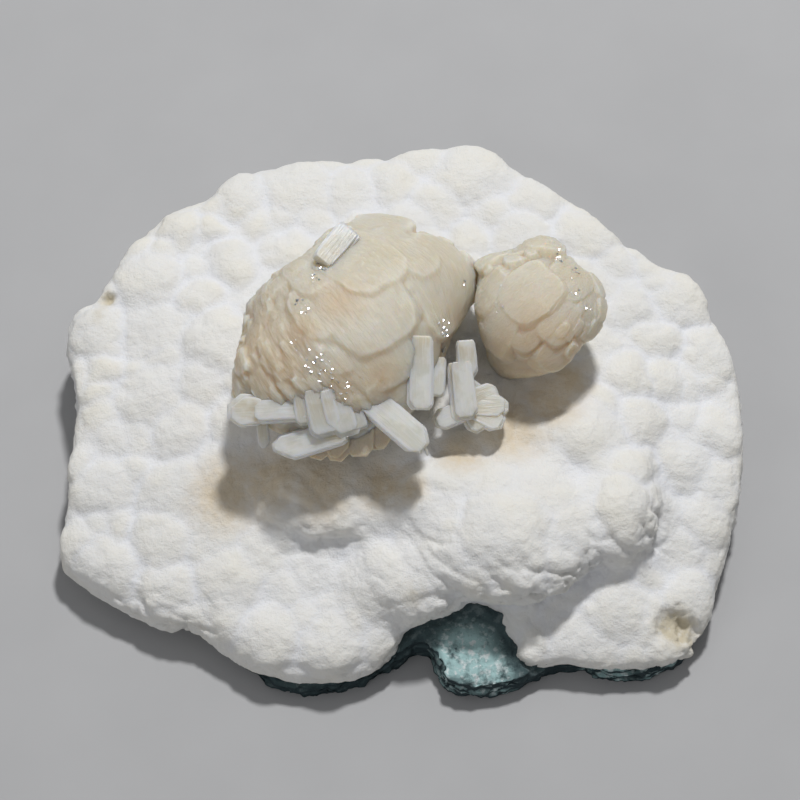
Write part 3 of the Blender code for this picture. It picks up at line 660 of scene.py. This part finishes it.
def thin_underside(item):
    """Spends the mesh's triangles on what shows: only the flat underside is thinned."""
    co, normals = coordinates(item.data), normals_of(item.data)
    facing, height = UNDERSIDE
    hidden = np.where((normals[:, 2] < facing) & (co[:, 2] < CRUST_UNDERSIDE + height))[0]
    group = item.vertex_groups.new(name="underside")
    group.add([int(index) for index in hidden], 1.0, "REPLACE")
    decimate(item, CRUST_TRIANGLES, "underside")
    item.vertex_groups.clear()


def crust_relief(co, normals, crumbly):
    """How far the crust's fine forms raise its points: nodules, crumbs, creases and pits."""
    raised = sum(height * (nodular(co, size) - NODULE_LEVEL) for size, height in NODULES)
    raised += sum(height * rough(co, size) for size, height in GRAIN)
    raised += crumbly * sum(height * (nodular(co, size) - CRUMB_LEVEL) for size, height in CRUMB)
    turn = np.array(Matrix.Rotation(CREASE_TURN, 3, "Z"))
    across = co @ turn * np.array((CREASE_STRETCH, 1.0, 1.0))
    for size, depth in CREASES:
        ridge = 1.0 - np.abs(rough(across, size, size)).clip(0, 1)
        raised -= crumbly * depth * ridge ** CREASE_SHARPNESS
    wall = np.clip(1.0 - WALL_STEEPNESS * np.abs(normals[:, 2]), 0.0, 1.0)
    ledges = co * np.array((1.0, 1.0, WALL_FLATNESS))
    raised -= wall * sum(depth * (WALL_INSET + rough(ledges, size, WALL_NOISE))
                         for size, depth in WALL)
    stray, length = PIT_STRAY
    for x, y, reach, depth in PITS:
        away = np.hypot(co[:, 0] - x, co[:, 1] - y) / reach
        raised -= depth * np.exp(-(away + stray * rough(co, length, PIT_NOISE)) ** PIT_SHARPNESS)
    return raised


def make_crust(material):
    crust = crust_form()
    thin_underside(crust)
    mesh = crust.data
    co, normals = coordinates(mesh), normals_of(mesh)
    valley = hollowness(mesh, VALLEY_PASSES)
    steep, least = CRUMBLY_SLOPES
    crumbly = near_spots(co, CRUMBLY) * np.clip(steep - normals[:, 2], least, 1.0)
    set_coordinates(mesh, co + normals * crust_relief(co, normals, crumbly)[:, None])
    ochre = near_spots(co, STAINS) + FAINTNESS * near_spots(co, FAINT_STAINS)
    set_attribute(mesh, "valley", valley)
    set_attribute(mesh, "ochre", ochre)
    # Painted shadow beside and under the sheaves
    set_attribute(mesh, "painted_shadow", near_spots(co, PAINTED_SHADOW_SPOTS))
    return place(crust, material, "chalcedony_crust")


def broken(spot):
    return Vector([
        amount * noise.noise(spot + Vector((axis * NOISE_STEP, 0, 0)))
        for axis, amount in enumerate(ROCK_WOBBLE)
    ])


def make_rock(material):
    rock = flat_blank("rock", ROCK_OUTLINE, ROCK_ROUNDING)
    remesh(rock, ROCK_VOXEL)
    co = coordinates(rock.data)
    top = spot_heights(ROCK_SPOTS, ROCK_REACH, co[:, 0], co[:, 1])
    level = co[:, 2] / SLAB_THICKNESS + 0.5
    stray = np.array([broken(Vector((x, y, ROCK_FLATNESS * z)) / ROCK_GRAIN) for x, y, z in co])
    co[:, :2] += stray[:, :2]
    co[:, 2] = level * (top + ROCK_ROOT + stray[:, 2]) - ROCK_ROOT
    set_coordinates(rock.data, co)
    co = coordinates(rock.data)
    raised = sum(height * rough(co, size, ROCK_NOISE) for size, height in ROCK_RELIEF) - ROCK_INSET
    set_coordinates(rock.data, co + normals_of(rock.data) * raised[:, None])
    bm = bmesh.new()
    bm.from_mesh(rock.data)
    cut = bmesh.ops.bisect_plane(bm, geom=bm.verts[:] + bm.edges[:] + bm.faces[:],
                                 plane_co=(0, 0, 0), plane_no=(0, 0, 1), clear_inner=True)
    rim = [part for part in cut["geom_cut"] if isinstance(part, bmesh.types.BMEdge)]
    bmesh.ops.edgeloop_fill(bm, edges=rim)
    bm.to_mesh(rock.data)
    bm.free()
    decimate(rock, ROCK_TRIANGLES)
    # Faces turned up and near the lit patches show the coat: partly the real celadonite coat,
    # partly painted light
    set_attribute(rock.data, "upward", normals_of(rock.data)[:, 2])
    set_attribute(rock.data, "lit_patch_nearness", near_spots(coordinates(rock.data), ROCK_LIT_PATCHES))
    return place(rock, material, "stained_rock")


# The stilbite


def laid(root, end, face):
    """A frame at a crystal's root, its length along Z and its broad face along Y."""
    along = (Vector(end) - Vector(root)).normalized()
    across = along.cross(Vector(face)).normalized()
    turn = Matrix((across, along.cross(across), along)).transposed().to_4x4()
    return Matrix.Translation(root) @ turn


def on_dome(form, ways):
    """The places where directions from a sheaf's centre meet its dome, from the centre."""
    reach = np.ones(len(ways))
    azimuth = np.degrees(np.arctan2(ways[:, 1], ways[:, 0]))
    for middle, depth, spread in form["dents"]:
        away = (azimuth - middle + 180) % 360 - 180
        reach -= depth * np.exp(-(away / spread) ** 2 / 2) * (1 - np.abs(ways[:, 2]))
    turn = np.array(Matrix.Rotation(math.radians(form["turn"]), 3, "Z"))
    return reach[:, None] * ((ways @ turn * np.array(form["radii"])) @ turn.T)


def lobes_of(form, lobes, scatter):
    """The listed lobes, and the scattered ones drawn at random."""
    rng = random.Random(form["seed"])
    yield from ((*lobe, 0.0, 0.0)[:7] for lobe in lobes)
    for (near, far), (first, last), count, lengths, widths, heights in scatter:
        for _ in range(count):
            yield (rng.uniform(near, far), rng.uniform(first, last), rng.uniform(*lengths),
                   rng.uniform(*widths), rng.uniform(*heights),
                   rng.uniform(-SCATTER_TILT, SCATTER_TILT),
                   rng.uniform(-SCATTER_TILT, SCATTER_TILT))


def raised_by(lobes, size, along, around):
    """The height of the highest lobe at each place of a sheaf's grid.

    A lobe is nearly flat inside its outline, and its sides slope down from there.
    """
    height = np.zeros(len(along))
    for far, turn, length, width, top, rise_far, rise_left in lobes:
        slope = RIM_SLOPE if top > RIM_TOP or length < KNOB_LENGTH else LOBE_SLOPE
        u = size * (along - math.radians(far))
        near = np.flatnonzero(np.abs(u) < length + LOBE_SKIRT)
        turned = (around[near] - math.radians(turn) + math.pi) % (2 * math.pi) - math.pi
        v = size * np.sin(along[near]) * turned
        within = np.abs(v) < width + LOBE_SKIRT
        near, v = near[within], v[within]
        u = u[near]
        out = (np.abs(u / length) ** LOBE_SQUARENESS
               + np.abs(v / width) ** LOBE_SQUARENESS) ** (1 / LOBE_SQUARENESS)
        low = LOBE_SAG * width * out ** 2 + slope * width * np.clip(out - 1, 0, None)
        top += rise_far * u + rise_left * v + LOBE_FLATNESS * (u * u + v * v) / (2 * size)
        height[near] = np.maximum(height[near], top - low)
    return height


def terraces(size, along, around):
    """Small steps like the ends of crystals that overlap, with their length from the root."""
    height = np.zeros(len(along))
    level = size * np.sin(along)
    for length, width, step, rise in TERRACES:
        row = size * along / length
        column = around * np.maximum(np.round(level / width), 1)
        shift = 0.5 * (np.floor(column) % 2)
        cells = np.stack([row + shift, column], axis=1)
        height += step * np.array([noise.cell(Vector((*cell, length))) for cell in cells])
        height += rise * ((row + shift) % 1 - 0.5)
    start, whole = TERRACED_FROM
    share = np.clip((np.degrees(around) - start) / (whole - start), 0, 1)
    return height * (TERRACES_ELSEWHERE + (1 - TERRACES_ELSEWHERE) * share)


def sphere_grid(name):
    """A sphere of meridians and parallels, with a radius of 1."""
    bm = bmesh.new()
    bmesh.ops.create_grid(bm, x_segments=MERIDIANS, y_segments=PARALLELS, size=1.0)
    for vertex in bm.verts:
        turn, tilt = math.pi * vertex.co.x, math.pi / 2 * (1 - vertex.co.y)
        level = math.sin(tilt)
        vertex.co = (level * math.cos(turn), level * math.sin(turn), math.cos(tilt))
    bmesh.ops.remove_doubles(bm, verts=bm.verts, dist=GRID_WELD)
    bmesh.ops.recalc_face_normals(bm, faces=bm.faces)
    return object_from(bm, name)


def make_sheaf(name, form, lobes, scatter, material):
    """A sheaf's waxy dome: meridians from the root, raised by the ends of its crystals."""
    sheaf = sphere_grid(name)
    mesh = sheaf.data
    grid = coordinates(mesh)
    along = np.arccos(np.clip(grid[:, 2], -1, 1))
    around = np.arctan2(grid[:, 1], grid[:, 0])

    centre, root = np.array(form["centre"], float), np.array(form["root"], float)
    pole = Vector(root - centre).normalized()
    top = (Vector((0, 0, 1)) - pole.z * pole).normalized()
    left = pole.cross(top)
    ways = grid @ np.array([top, left, pole])
    stray, length = LOBE_STRAY
    ground = form["size"] * ways
    u = along + stray / form["size"] * rough(ground, length)
    v = around + stray / form["size"] * rough(ground, length, NOISE_STEP)
    height = raised_by(lobes_of(form, lobes, scatter), form["size"], u, v)
    fibres = np.zeros(len(along))
    for count, depth in FIBRES:
        spokes = np.stack([count * grid[:, 0], count * grid[:, 1], FIBRE_DRIFT * along], axis=1)
        fibres += depth * rough(spokes / np.sin(along)[:, None].clip(POLE_LIMIT), 1.0)
    height += fibres + WAVES[1] * rough(ground, WAVES[0], WAVE_NOISE)
    height += terraces(form["size"], u, v)

    spots = centre + BODY_SHARE * on_dome(form, ways)
    below = np.clip((centre[2] - spots[:, 2]) / (BODY_SHARE * form["radii"][2]), 0, 1)
    spots += ways * (height * (1 - below))[:, None]
    pull = (form["stem_pull"] * below)[:, None]
    spots[:, :2] = spots[:, :2] * (1 - pull) + root[:2] * pull
    spots[:, 2] = np.where(below > 0, centre[2] - form["stem_depth"] * below, spots[:, 2])
    set_coordinates(mesh, spots)
    smooth(sheaf, SHEAF_SMOOTHING)
    # Hollowness, for painted shade in the hollows between lobes and a painted highlight on their
    # ridges
    set_attribute(sheaf.data, "painted_shade_and_highlight", hollowness(sheaf.data, CREVICE_PASSES))
    set_attribute(sheaf.data, "spokes", grid * np.array((1, 1, 0)) + along[:, None] * (0, 0, 1))
    # Warm brown: partly the crystal's own tan, partly a painted glow of light through the
    # undersides
    set_attribute(sheaf.data, "warmth", near_spots(spots, TAN_AND_GLOW_SPOTS))
    return place(sheaf, material, name)


def crystal(root, end, width, thickness, clips, face):
    """A flat lath whose end corners are clipped and whose edges are trimmed."""
    length = (Vector(end) - Vector(root)).length
    left, right = clips
    narrow, wider = ROOT_WIDTHS
    outline = (
        (-narrow, 0), (narrow, 0), (wider, ROOT_TAPER * width), (0.5, 0.5 * length),
        (0.5, length - right * width),
        (0.5 - CLIP_SHARE * right, length), (CLIP_SHARE * left - 0.5, length),
        (-0.5, length - left * width), (-0.5, 0.5 * length), (-wider, ROOT_TAPER * width),
    )
    bm = bmesh.new()
    corners = [bm.verts.new((across * width, -thickness / 2, up)) for across, up in outline]
    front = bm.faces.new(corners)
    made = bmesh.ops.extrude_face_region(bm, geom=[front])["geom"]
    back = [part for part in made if isinstance(part, bmesh.types.BMVert)]
    bmesh.ops.translate(bm, verts=back, vec=(0, thickness, 0))
    bmesh.ops.recalc_face_normals(bm, faces=bm.faces)
    lath = bm.loops.layers.uv.new("lath")
    for loop in (loop for side in bm.faces for loop in side.loops):
        loop[lath].uv = (2 * loop.vert.co.x / width, loop.vert.co.z)
    bm.transform(laid(root, end, face))
    item = object_from(bm, "crystal")
    modify(item, "BEVEL", width=CRYSTAL_BEVEL, segments=BEVEL_STEPS)
    return item


def stacked(rng, root, end, width, thickness, clips):
    """A crystal grown in parallel layers, each a little off the others."""
    along = (Vector(end) - Vector(root)).normalized()
    face = Vector(SINGLE_FACE) + Vector([rng.uniform(-FACE_STRAY, FACE_STRAY) for _ in range(3)])
    across = along.cross(face).normalized()
    out = across.cross(along).normalized()
    for layer in range(LAYERS):
        middle = layer == LAYERS // 2
        wide = width * (1.0 if middle else rng.uniform(*LAYER_WIDTHS))
        short = 0.0 if middle else width * rng.uniform(*LAYER_STEPS)
        aside = 0.0 if middle else (width - wide) * rng.uniform(-0.5, 0.5)
        depth = ((layer + 0.5) / LAYERS - 0.5) * thickness
        shift = aside * across + depth * out
        thick = LAYER_OVERLAP * thickness / LAYERS
        clipped = [clip * rng.uniform(*LAYER_CLIPS) for clip in clips]
        yield crystal(Vector(root) + shift, Vector(end) + shift - short * along, wide, thick,
                      clipped, face)


def union(name, items):
    """Joins closed objects that overlap in one shell, and drops what they hide."""
    first, others = items[0], items[1:]
    group = bpy.data.collections.new(name)
    for item in others:
        bpy.context.scene.collection.objects.unlink(item)
        group.objects.link(item)
    bpy.context.scene.collection.children.link(group)
    modify(first, "BOOLEAN", operation="UNION", operand_type="COLLECTION", collection=group,
           solver="EXACT")
    for item in others:
        bpy.data.objects.remove(item, do_unlink=True)
    bpy.data.collections.remove(group)
    return first


def make_crystals(name, crystals, seed, material):
    rng = random.Random(seed)
    items = [layer for single in crystals for layer in stacked(rng, *single)]
    joined = union(name, items)
    set_attribute(joined.data, "warmth", np.full(len(joined.data.vertices), PLATE_WARMTH))
    set_attribute(joined.data, "spokes", coordinates(joined.data) / LARGE["size"])
    return place(joined, material, name, rounded=False)


def make_glints(name, sheaf, clusters, material):
    """Small crystals on a finished sheaf, their faces nearly level, so that some flash."""
    rng = random.Random(GLINT_SEED)
    bm = bmesh.new()
    middle = Vector((*PLAN_MIDDLE, 0))
    for x, y, reach, count in clusters:
        for _ in range(count):
            away, turn = reach * math.sqrt(rng.random()), rng.uniform(0, 2 * math.pi)
            spot = Vector((x + away * math.cos(turn), y + away * math.sin(turn), 0)) - middle
            size = rng.uniform(*GLINT_SIZES)
            shape = (size, size * rng.uniform(*GLINT_ASPECTS), GLINT_DEPTH * size)
            stray = Vector([rng.uniform(-GLINT_STRAY, GLINT_STRAY) for _ in range(3)])
            hit, found, _, _ = sheaf.ray_cast(MM * spot + Vector((0, 0, 1)), (0, 0, -1))
            if not hit:
                continue
            turned = (Vector(GLINT_WAY) + stray).to_track_quat("Z", "Y").to_matrix().to_4x4()
            spin = Matrix.Rotation(rng.uniform(0, math.pi), 4, "Z")
            lift = Matrix.Translation((0, 0, (GLINT_LIFT - GLINT_DEPTH / 2) * size))
            scale = Matrix.Diagonal((*shape, 1.0))
            matrix = Matrix.Translation(found / MM + middle) @ turned @ spin @ lift @ scale
            bmesh.ops.create_cube(bm, size=1.0, matrix=matrix)
    return place(object_from(bm, name), material, name, rounded=False)


# Materials


def new_material(name):
    material = bpy.data.materials.new(name)
    material.use_nodes = True
    return material, material.node_tree, material.node_tree.nodes["Principled BSDF"]


def texture(tree, scale, detail, roughness=0.5, vector=None):
    """Procedural noise over the object's own coordinates, or another vector."""
    node = tree.nodes.new("ShaderNodeTexNoise")
    node.inputs["Scale"].default_value = scale
    node.inputs["Detail"].default_value = detail
    node.inputs["Roughness"].default_value = roughness
    if vector is None:
        vector = tree.nodes.new("ShaderNodeTexCoord").outputs["Object"]
    tree.links.new(vector, node.inputs["Vector"])
    return node.outputs[0]


def attribute(tree, name, output="Fac"):
    node = tree.nodes.new("ShaderNodeAttribute")
    node.attribute_name = name
    return node.outputs[output]


def stretched(tree, vector, scale):
    node = tree.nodes.new("ShaderNodeMapping")
    node.inputs["Scale"].default_value = scale
    tree.links.new(vector, node.inputs["Vector"])
    return node.outputs["Vector"]


def spread(tree, value, low, high, start=0.0, end=1.0):
    """Maps a value from one range to another and keeps it there."""
    node = tree.nodes.new("ShaderNodeMapRange")
    node.inputs["From Min"].default_value = low
    node.inputs["From Max"].default_value = high
    node.inputs["To Min"].default_value = start
    node.inputs["To Max"].default_value = end
    tree.links.new(value, node.inputs["Value"])
    return node.outputs["Result"]


def mixed(tree, share, first, second):
    """Mixes two colours, each a fixed one or a socket."""
    node = tree.nodes.new("ShaderNodeMix")
    node.data_type = "RGBA"
    tree.links.new(share, node.inputs["Factor"])
    colours = [item for item in node.inputs if item.type == "RGBA"]
    for socket, colour in zip(colours, (first, second)):
        if isinstance(colour, tuple):
            socket.default_value = (*colour, 1.0)
        else:
            tree.links.new(colour, socket)
    return [item for item in node.outputs if item.type == "RGBA"][0]


def times(tree, first, second):
    node = tree.nodes.new("ShaderNodeMath")
    node.operation = "MULTIPLY"
    tree.links.new(first, node.inputs[0])
    tree.links.new(second, node.inputs[1])
    return node.outputs[0]


def bump(tree, height, distance, strength, below=None):
    node = tree.nodes.new("ShaderNodeBump")
    node.inputs["Strength"].default_value = strength
    node.inputs["Distance"].default_value = distance
    tree.links.new(height, node.inputs["Height"])
    if below is not None:
        tree.links.new(below, node.inputs["Normal"])
    return node.outputs["Normal"]


def add_skin(tree, shader, layers, below=None):
    """Gives a finish layers of fine relief, over relief that is already there, if any."""
    for scale, detail, roughness, depth, strength in layers:
        below = bump(tree, texture(tree, scale, detail, roughness), depth, strength, below)
    tree.links.new(below, shader.inputs["Normal"])


def paint(tree, shader, colour, roughness):
    tree.links.new(colour, shader.inputs["Base Color"])
    shader.inputs["Roughness"].default_value = roughness


def let_light_in(shader, radius, depth):
    """Makes a finish waxy crystal, with how far each colour of light spreads in it."""
    shader.inputs["IOR"].default_value = CRYSTAL_IOR
    shader.inputs["Subsurface Weight"].default_value = 1.0
    shader.inputs["Subsurface Radius"].default_value = radius
    shader.inputs["Subsurface Scale"].default_value = depth


def chalcedony_material():
    material, tree, shader = new_material("chalcedony")
    valley = spread(tree, attribute(tree, "valley"), -0.2, 0.3)
    clouds = spread(tree, texture(tree, 90, 4), 0.4, 0.68)
    colour = mixed(tree, valley, mixed(tree, clouds, *CRUST_TOPS), CRUST_VALLEYS)
    ragged = texture(tree, 500, 5, 0.6)
    # Painted shadow: warm brown beside and under the sheaves, as of light passed through the
    # stilbite
    painted_shadow = times(tree, attribute(tree, "painted_shadow"), spread(tree, ragged, 0.2, 0.6, 0.6, 1.0))
    colour = mixed(tree, spread(tree, painted_shadow, 0.25, 0.9), colour, PAINTED_SHADOW_TAN)
    ochre = times(tree, attribute(tree, "ochre"), spread(tree, ragged, 0.3, 0.6, 0.5, 1.3))
    colour = mixed(tree, spread(tree, ochre, 0.1, 0.8), colour, PIT_OCHRE)
    paint(tree, shader, colour, 0.92)
    shader.inputs["Specular IOR Level"].default_value = 0.25
    shader.inputs["Subsurface Weight"].default_value = 0.15
    shader.inputs["Subsurface Radius"].default_value = (1.0, 0.9, 0.8)
    shader.inputs["Subsurface Scale"].default_value = 0.0012
    add_skin(tree, shader, CRUST_SKIN)
    return material


def rock_material():
    material, tree, shader = new_material("celadonite")
    ragged = texture(tree, 260, 6, 0.65)
    # The blue-green coat on faces turned up near the lit patches: partly the real celadonite coat,
    # partly painted light; the near black elsewhere is partly dark basalt, partly painted shade
    upward = spread(tree, attribute(tree, "upward"), 0.3, 0.85)
    lit_patch = spread(tree, attribute(tree, "lit_patch_nearness"), 0.15, 0.6, 0.11, 1.0)
    coat_and_light = times(tree, times(tree, upward, lit_patch), spread(tree, ragged, 0.30, 0.50))
    flecks = spread(tree, texture(tree, 700, 4, 0.6), 0.52, 0.64)
    colour = mixed(tree, coat_and_light, ROCK_DARK_AND_SHADE, ROCK_COAT)
    colour = mixed(tree, times(tree, flecks, coat_and_light), colour, ROCK_FLECKS)
    paint(tree, shader, colour, 0.9)
    add_skin(tree, shader, ROCK_SKIN)
    return material


def stilbite_material(name, depth):
    """The waxy cream crystal, with how deep light goes into it, in metres."""
    material, tree, shader = new_material(name)
    # Painted shade: warm tan in the hollows between the lobes
    painted_shade_and_highlight = spread(tree, attribute(tree, "painted_shade_and_highlight"), 0.08, 0.7)
    # Painted highlight: paler on the lobes' ridges
    ridge = spread(tree, attribute(tree, "painted_shade_and_highlight"), -0.1, -0.5)
    spokes = stretched(tree, attribute(tree, "spokes", "Vector"), (40.0, 40.0, 4.0))
    fibres = texture(tree, 1.0, 4, 0.6, spokes)
    clouds = spread(tree, texture(tree, 120, 3), 0.35, 0.65)
    cream = mixed(tree, clouds, *STILBITE_CLOUDS)
    cream = mixed(tree, spread(tree, fibres, 0.5, 0.8), cream, STILBITE_FIBRES)
    # Warm brown: the crystal's own tan, and near the undersides a painted glow of light through
    # them
    warm = mixed(tree, attribute(tree, "warmth"), cream, STILBITE_WARM)
    highlighted = mixed(tree, ridge, warm, STILBITE_RIDGE_HIGHLIGHT)
    paint(tree, shader, mixed(tree, painted_shade_and_highlight, highlighted, STILBITE_HOLLOW_SHADE), 0.45)
    let_light_in(shader, (1.0, 0.74, 0.45), depth)
    shader.inputs["Specular IOR Level"].default_value = 0.4
    add_skin(tree, shader, STILBITE_SKIN, bump(tree, fibres, 0.0004, 0.7))
    return material


def blade_material():
    material, tree, shader = new_material("stilbite_blades")
    lath = tree.nodes.new("ShaderNodeUVMap")
    lath.uv_map = "lath"
    parts = tree.nodes.new("ShaderNodeSeparateXYZ")
    tree.links.new(lath.outputs["UV"], parts.inputs["Vector"])
    outwards = tree.nodes.new("ShaderNodeMath")
    outwards.operation = "ABSOLUTE"
    tree.links.new(parts.outputs["X"], outwards.inputs[0])
    drawn_out = stretched(tree, lath.outputs["UV"], (6.0, 0.16, 1.0))
    lines = texture(tree, 1.0, 4, 0.6, drawn_out)
    clouds = spread(tree, texture(tree, 210, 4), 0.46, 0.60)
    colour = mixed(tree, spread(tree, parts.outputs["Y"], 1.0, 7.0), BLADE_ROOTS, BLADE_ENDS)
    colour = mixed(tree, clouds, colour, BLADE_CLOUDS)
    colour = mixed(tree, spread(tree, lines, 0.5, 0.8), colour, BLADE_LINES)
    # Painted highlight: pale thin edges, as of light caught in the edges of clear plates
    colour = mixed(tree, spread(tree, outwards.outputs[0], 0.72, 0.92), colour, BLADE_EDGE_HIGHLIGHT)
    paint(tree, shader, colour, 0.3)
    let_light_in(shader, (1.0, 0.88, 0.7), BLADE_DEPTH)
    shader.inputs["Transmission Weight"].default_value = 0.25
    tree.links.new(bump(tree, lines, 0.0003, 0.6), shader.inputs["Normal"])
    return material


def glint_material():
    material, tree, shader = new_material("stilbite_faces")
    clouds = spread(tree, texture(tree, 300, 2), 0.35, 0.65)
    paint(tree, shader, mixed(tree, clouds, *GLINT_CLOUDS), 0.14)
    let_light_in(shader, (1.0, 0.8, 0.6), FACE_DEPTH)
    return material


def floor_material():
    material, tree, shader = new_material("floor")
    grain = spread(tree, texture(tree, 40, 3), 0.3, 0.7)
    paint(tree, shader, mixed(tree, grain, *FLOOR_GREYS), 0.8)
    return material


# Stage


def make_floor():
    bm = bmesh.new()
    bmesh.ops.create_grid(bm, x_segments=1, y_segments=1, size=FLOOR_SIZE)
    floor = object_from(bm, "floor")
    floor.data.materials.append(floor_material())


def look_back(name, data, target, way, distance):
    """Stands a camera or a light some way from its target, facing it."""
    item = linked(name, data)
    item.location = Vector(target) + distance * Vector(way).normalized()
    item.rotation_euler = Vector(way).to_track_quat("Z", "Y").to_euler()
    return item


def make_camera():
    camera = bpy.data.cameras.new("camera")
    camera.lens = LENS
    camera.sensor_width = SENSOR
    back = (0, -math.cos(VIEW_ELEVATION), math.sin(VIEW_ELEVATION))
    bpy.context.scene.camera = look_back("camera", camera, VIEW_TARGET, back, VIEW_DISTANCE)


def area_light(name, way, distance, size, power):
    light = bpy.data.lights.new(name, "AREA")
    light.shape = "DISK"
    light.size = size
    light.energy = power
    look_back(name, light, (0, 0, 0), way, distance)


def make_lights():
    area_light("key", *KEY_LIGHT)
    area_light("fill", *FILL_LIGHT)
    world = bpy.data.worlds.new("studio")
    world.use_nodes = True
    sky = world.node_tree.nodes["Background"]
    sky.inputs["Color"].default_value = (*SKY_COLOUR, 1.0)
    sky.inputs["Strength"].default_value = SKY_STRENGTH
    bpy.context.scene.world = world
    bpy.context.scene.view_settings.view_transform = "Standard"


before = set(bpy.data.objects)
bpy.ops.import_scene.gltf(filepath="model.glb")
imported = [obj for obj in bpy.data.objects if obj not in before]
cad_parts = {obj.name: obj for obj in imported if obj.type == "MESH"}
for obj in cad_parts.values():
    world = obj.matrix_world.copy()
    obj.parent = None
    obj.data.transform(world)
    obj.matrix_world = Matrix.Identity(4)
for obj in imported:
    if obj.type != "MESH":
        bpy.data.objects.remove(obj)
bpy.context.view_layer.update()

stilbite = stilbite_material("stilbite", SHEAF_DEPTH)
tan_stilbite = stilbite_material("stilbite_plates", PLATE_DEPTH)
blades = blade_material()
crust = make_crust(chalcedony_material())
rock = make_rock(rock_material())
large = make_sheaf("large_sheaf", LARGE, LARGE_LOBES, LARGE_SCATTER, stilbite)
small = make_sheaf("small_sheaf", SMALL, SMALL_LOBES, SMALL_SCATTER, stilbite)
loose = make_crystals("large_sheaf_blades", LARGE_SINGLES, SINGLES_SEED, blades)
plates = make_crystals("large_sheaf_plates", LARGE_PLATES, PLATES_SEED, tan_stilbite)
spray = make_crystals("blade_spray", SPRAY_CRYSTALS, SPRAY_SEED, blades)
faces = glint_material()
large_faces = make_glints("large_sheaf_faces", large, LARGE_GLINTS, faces)
small_faces = make_glints("small_sheaf_faces", small, SMALL_GLINTS, faces)

for piece, slot in ((crust, "chalcedony"), (rock, "celadonite"), (large, "stilbite"),
                    (small, "stilbite"), (loose, "stilbite"), (plates, "stilbite"),
                    (spray, "stilbite"), (large_faces, "stilbite"), (small_faces, "stilbite")):
    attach(piece, "root")
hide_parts("chalcedony_plate")
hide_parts("celadonite_rock")
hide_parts("large_stilbite_sheaf")
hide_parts("small_stilbite_sheaf")
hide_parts("stilbite_blade_spray")

make_floor()
make_camera()
make_lights()
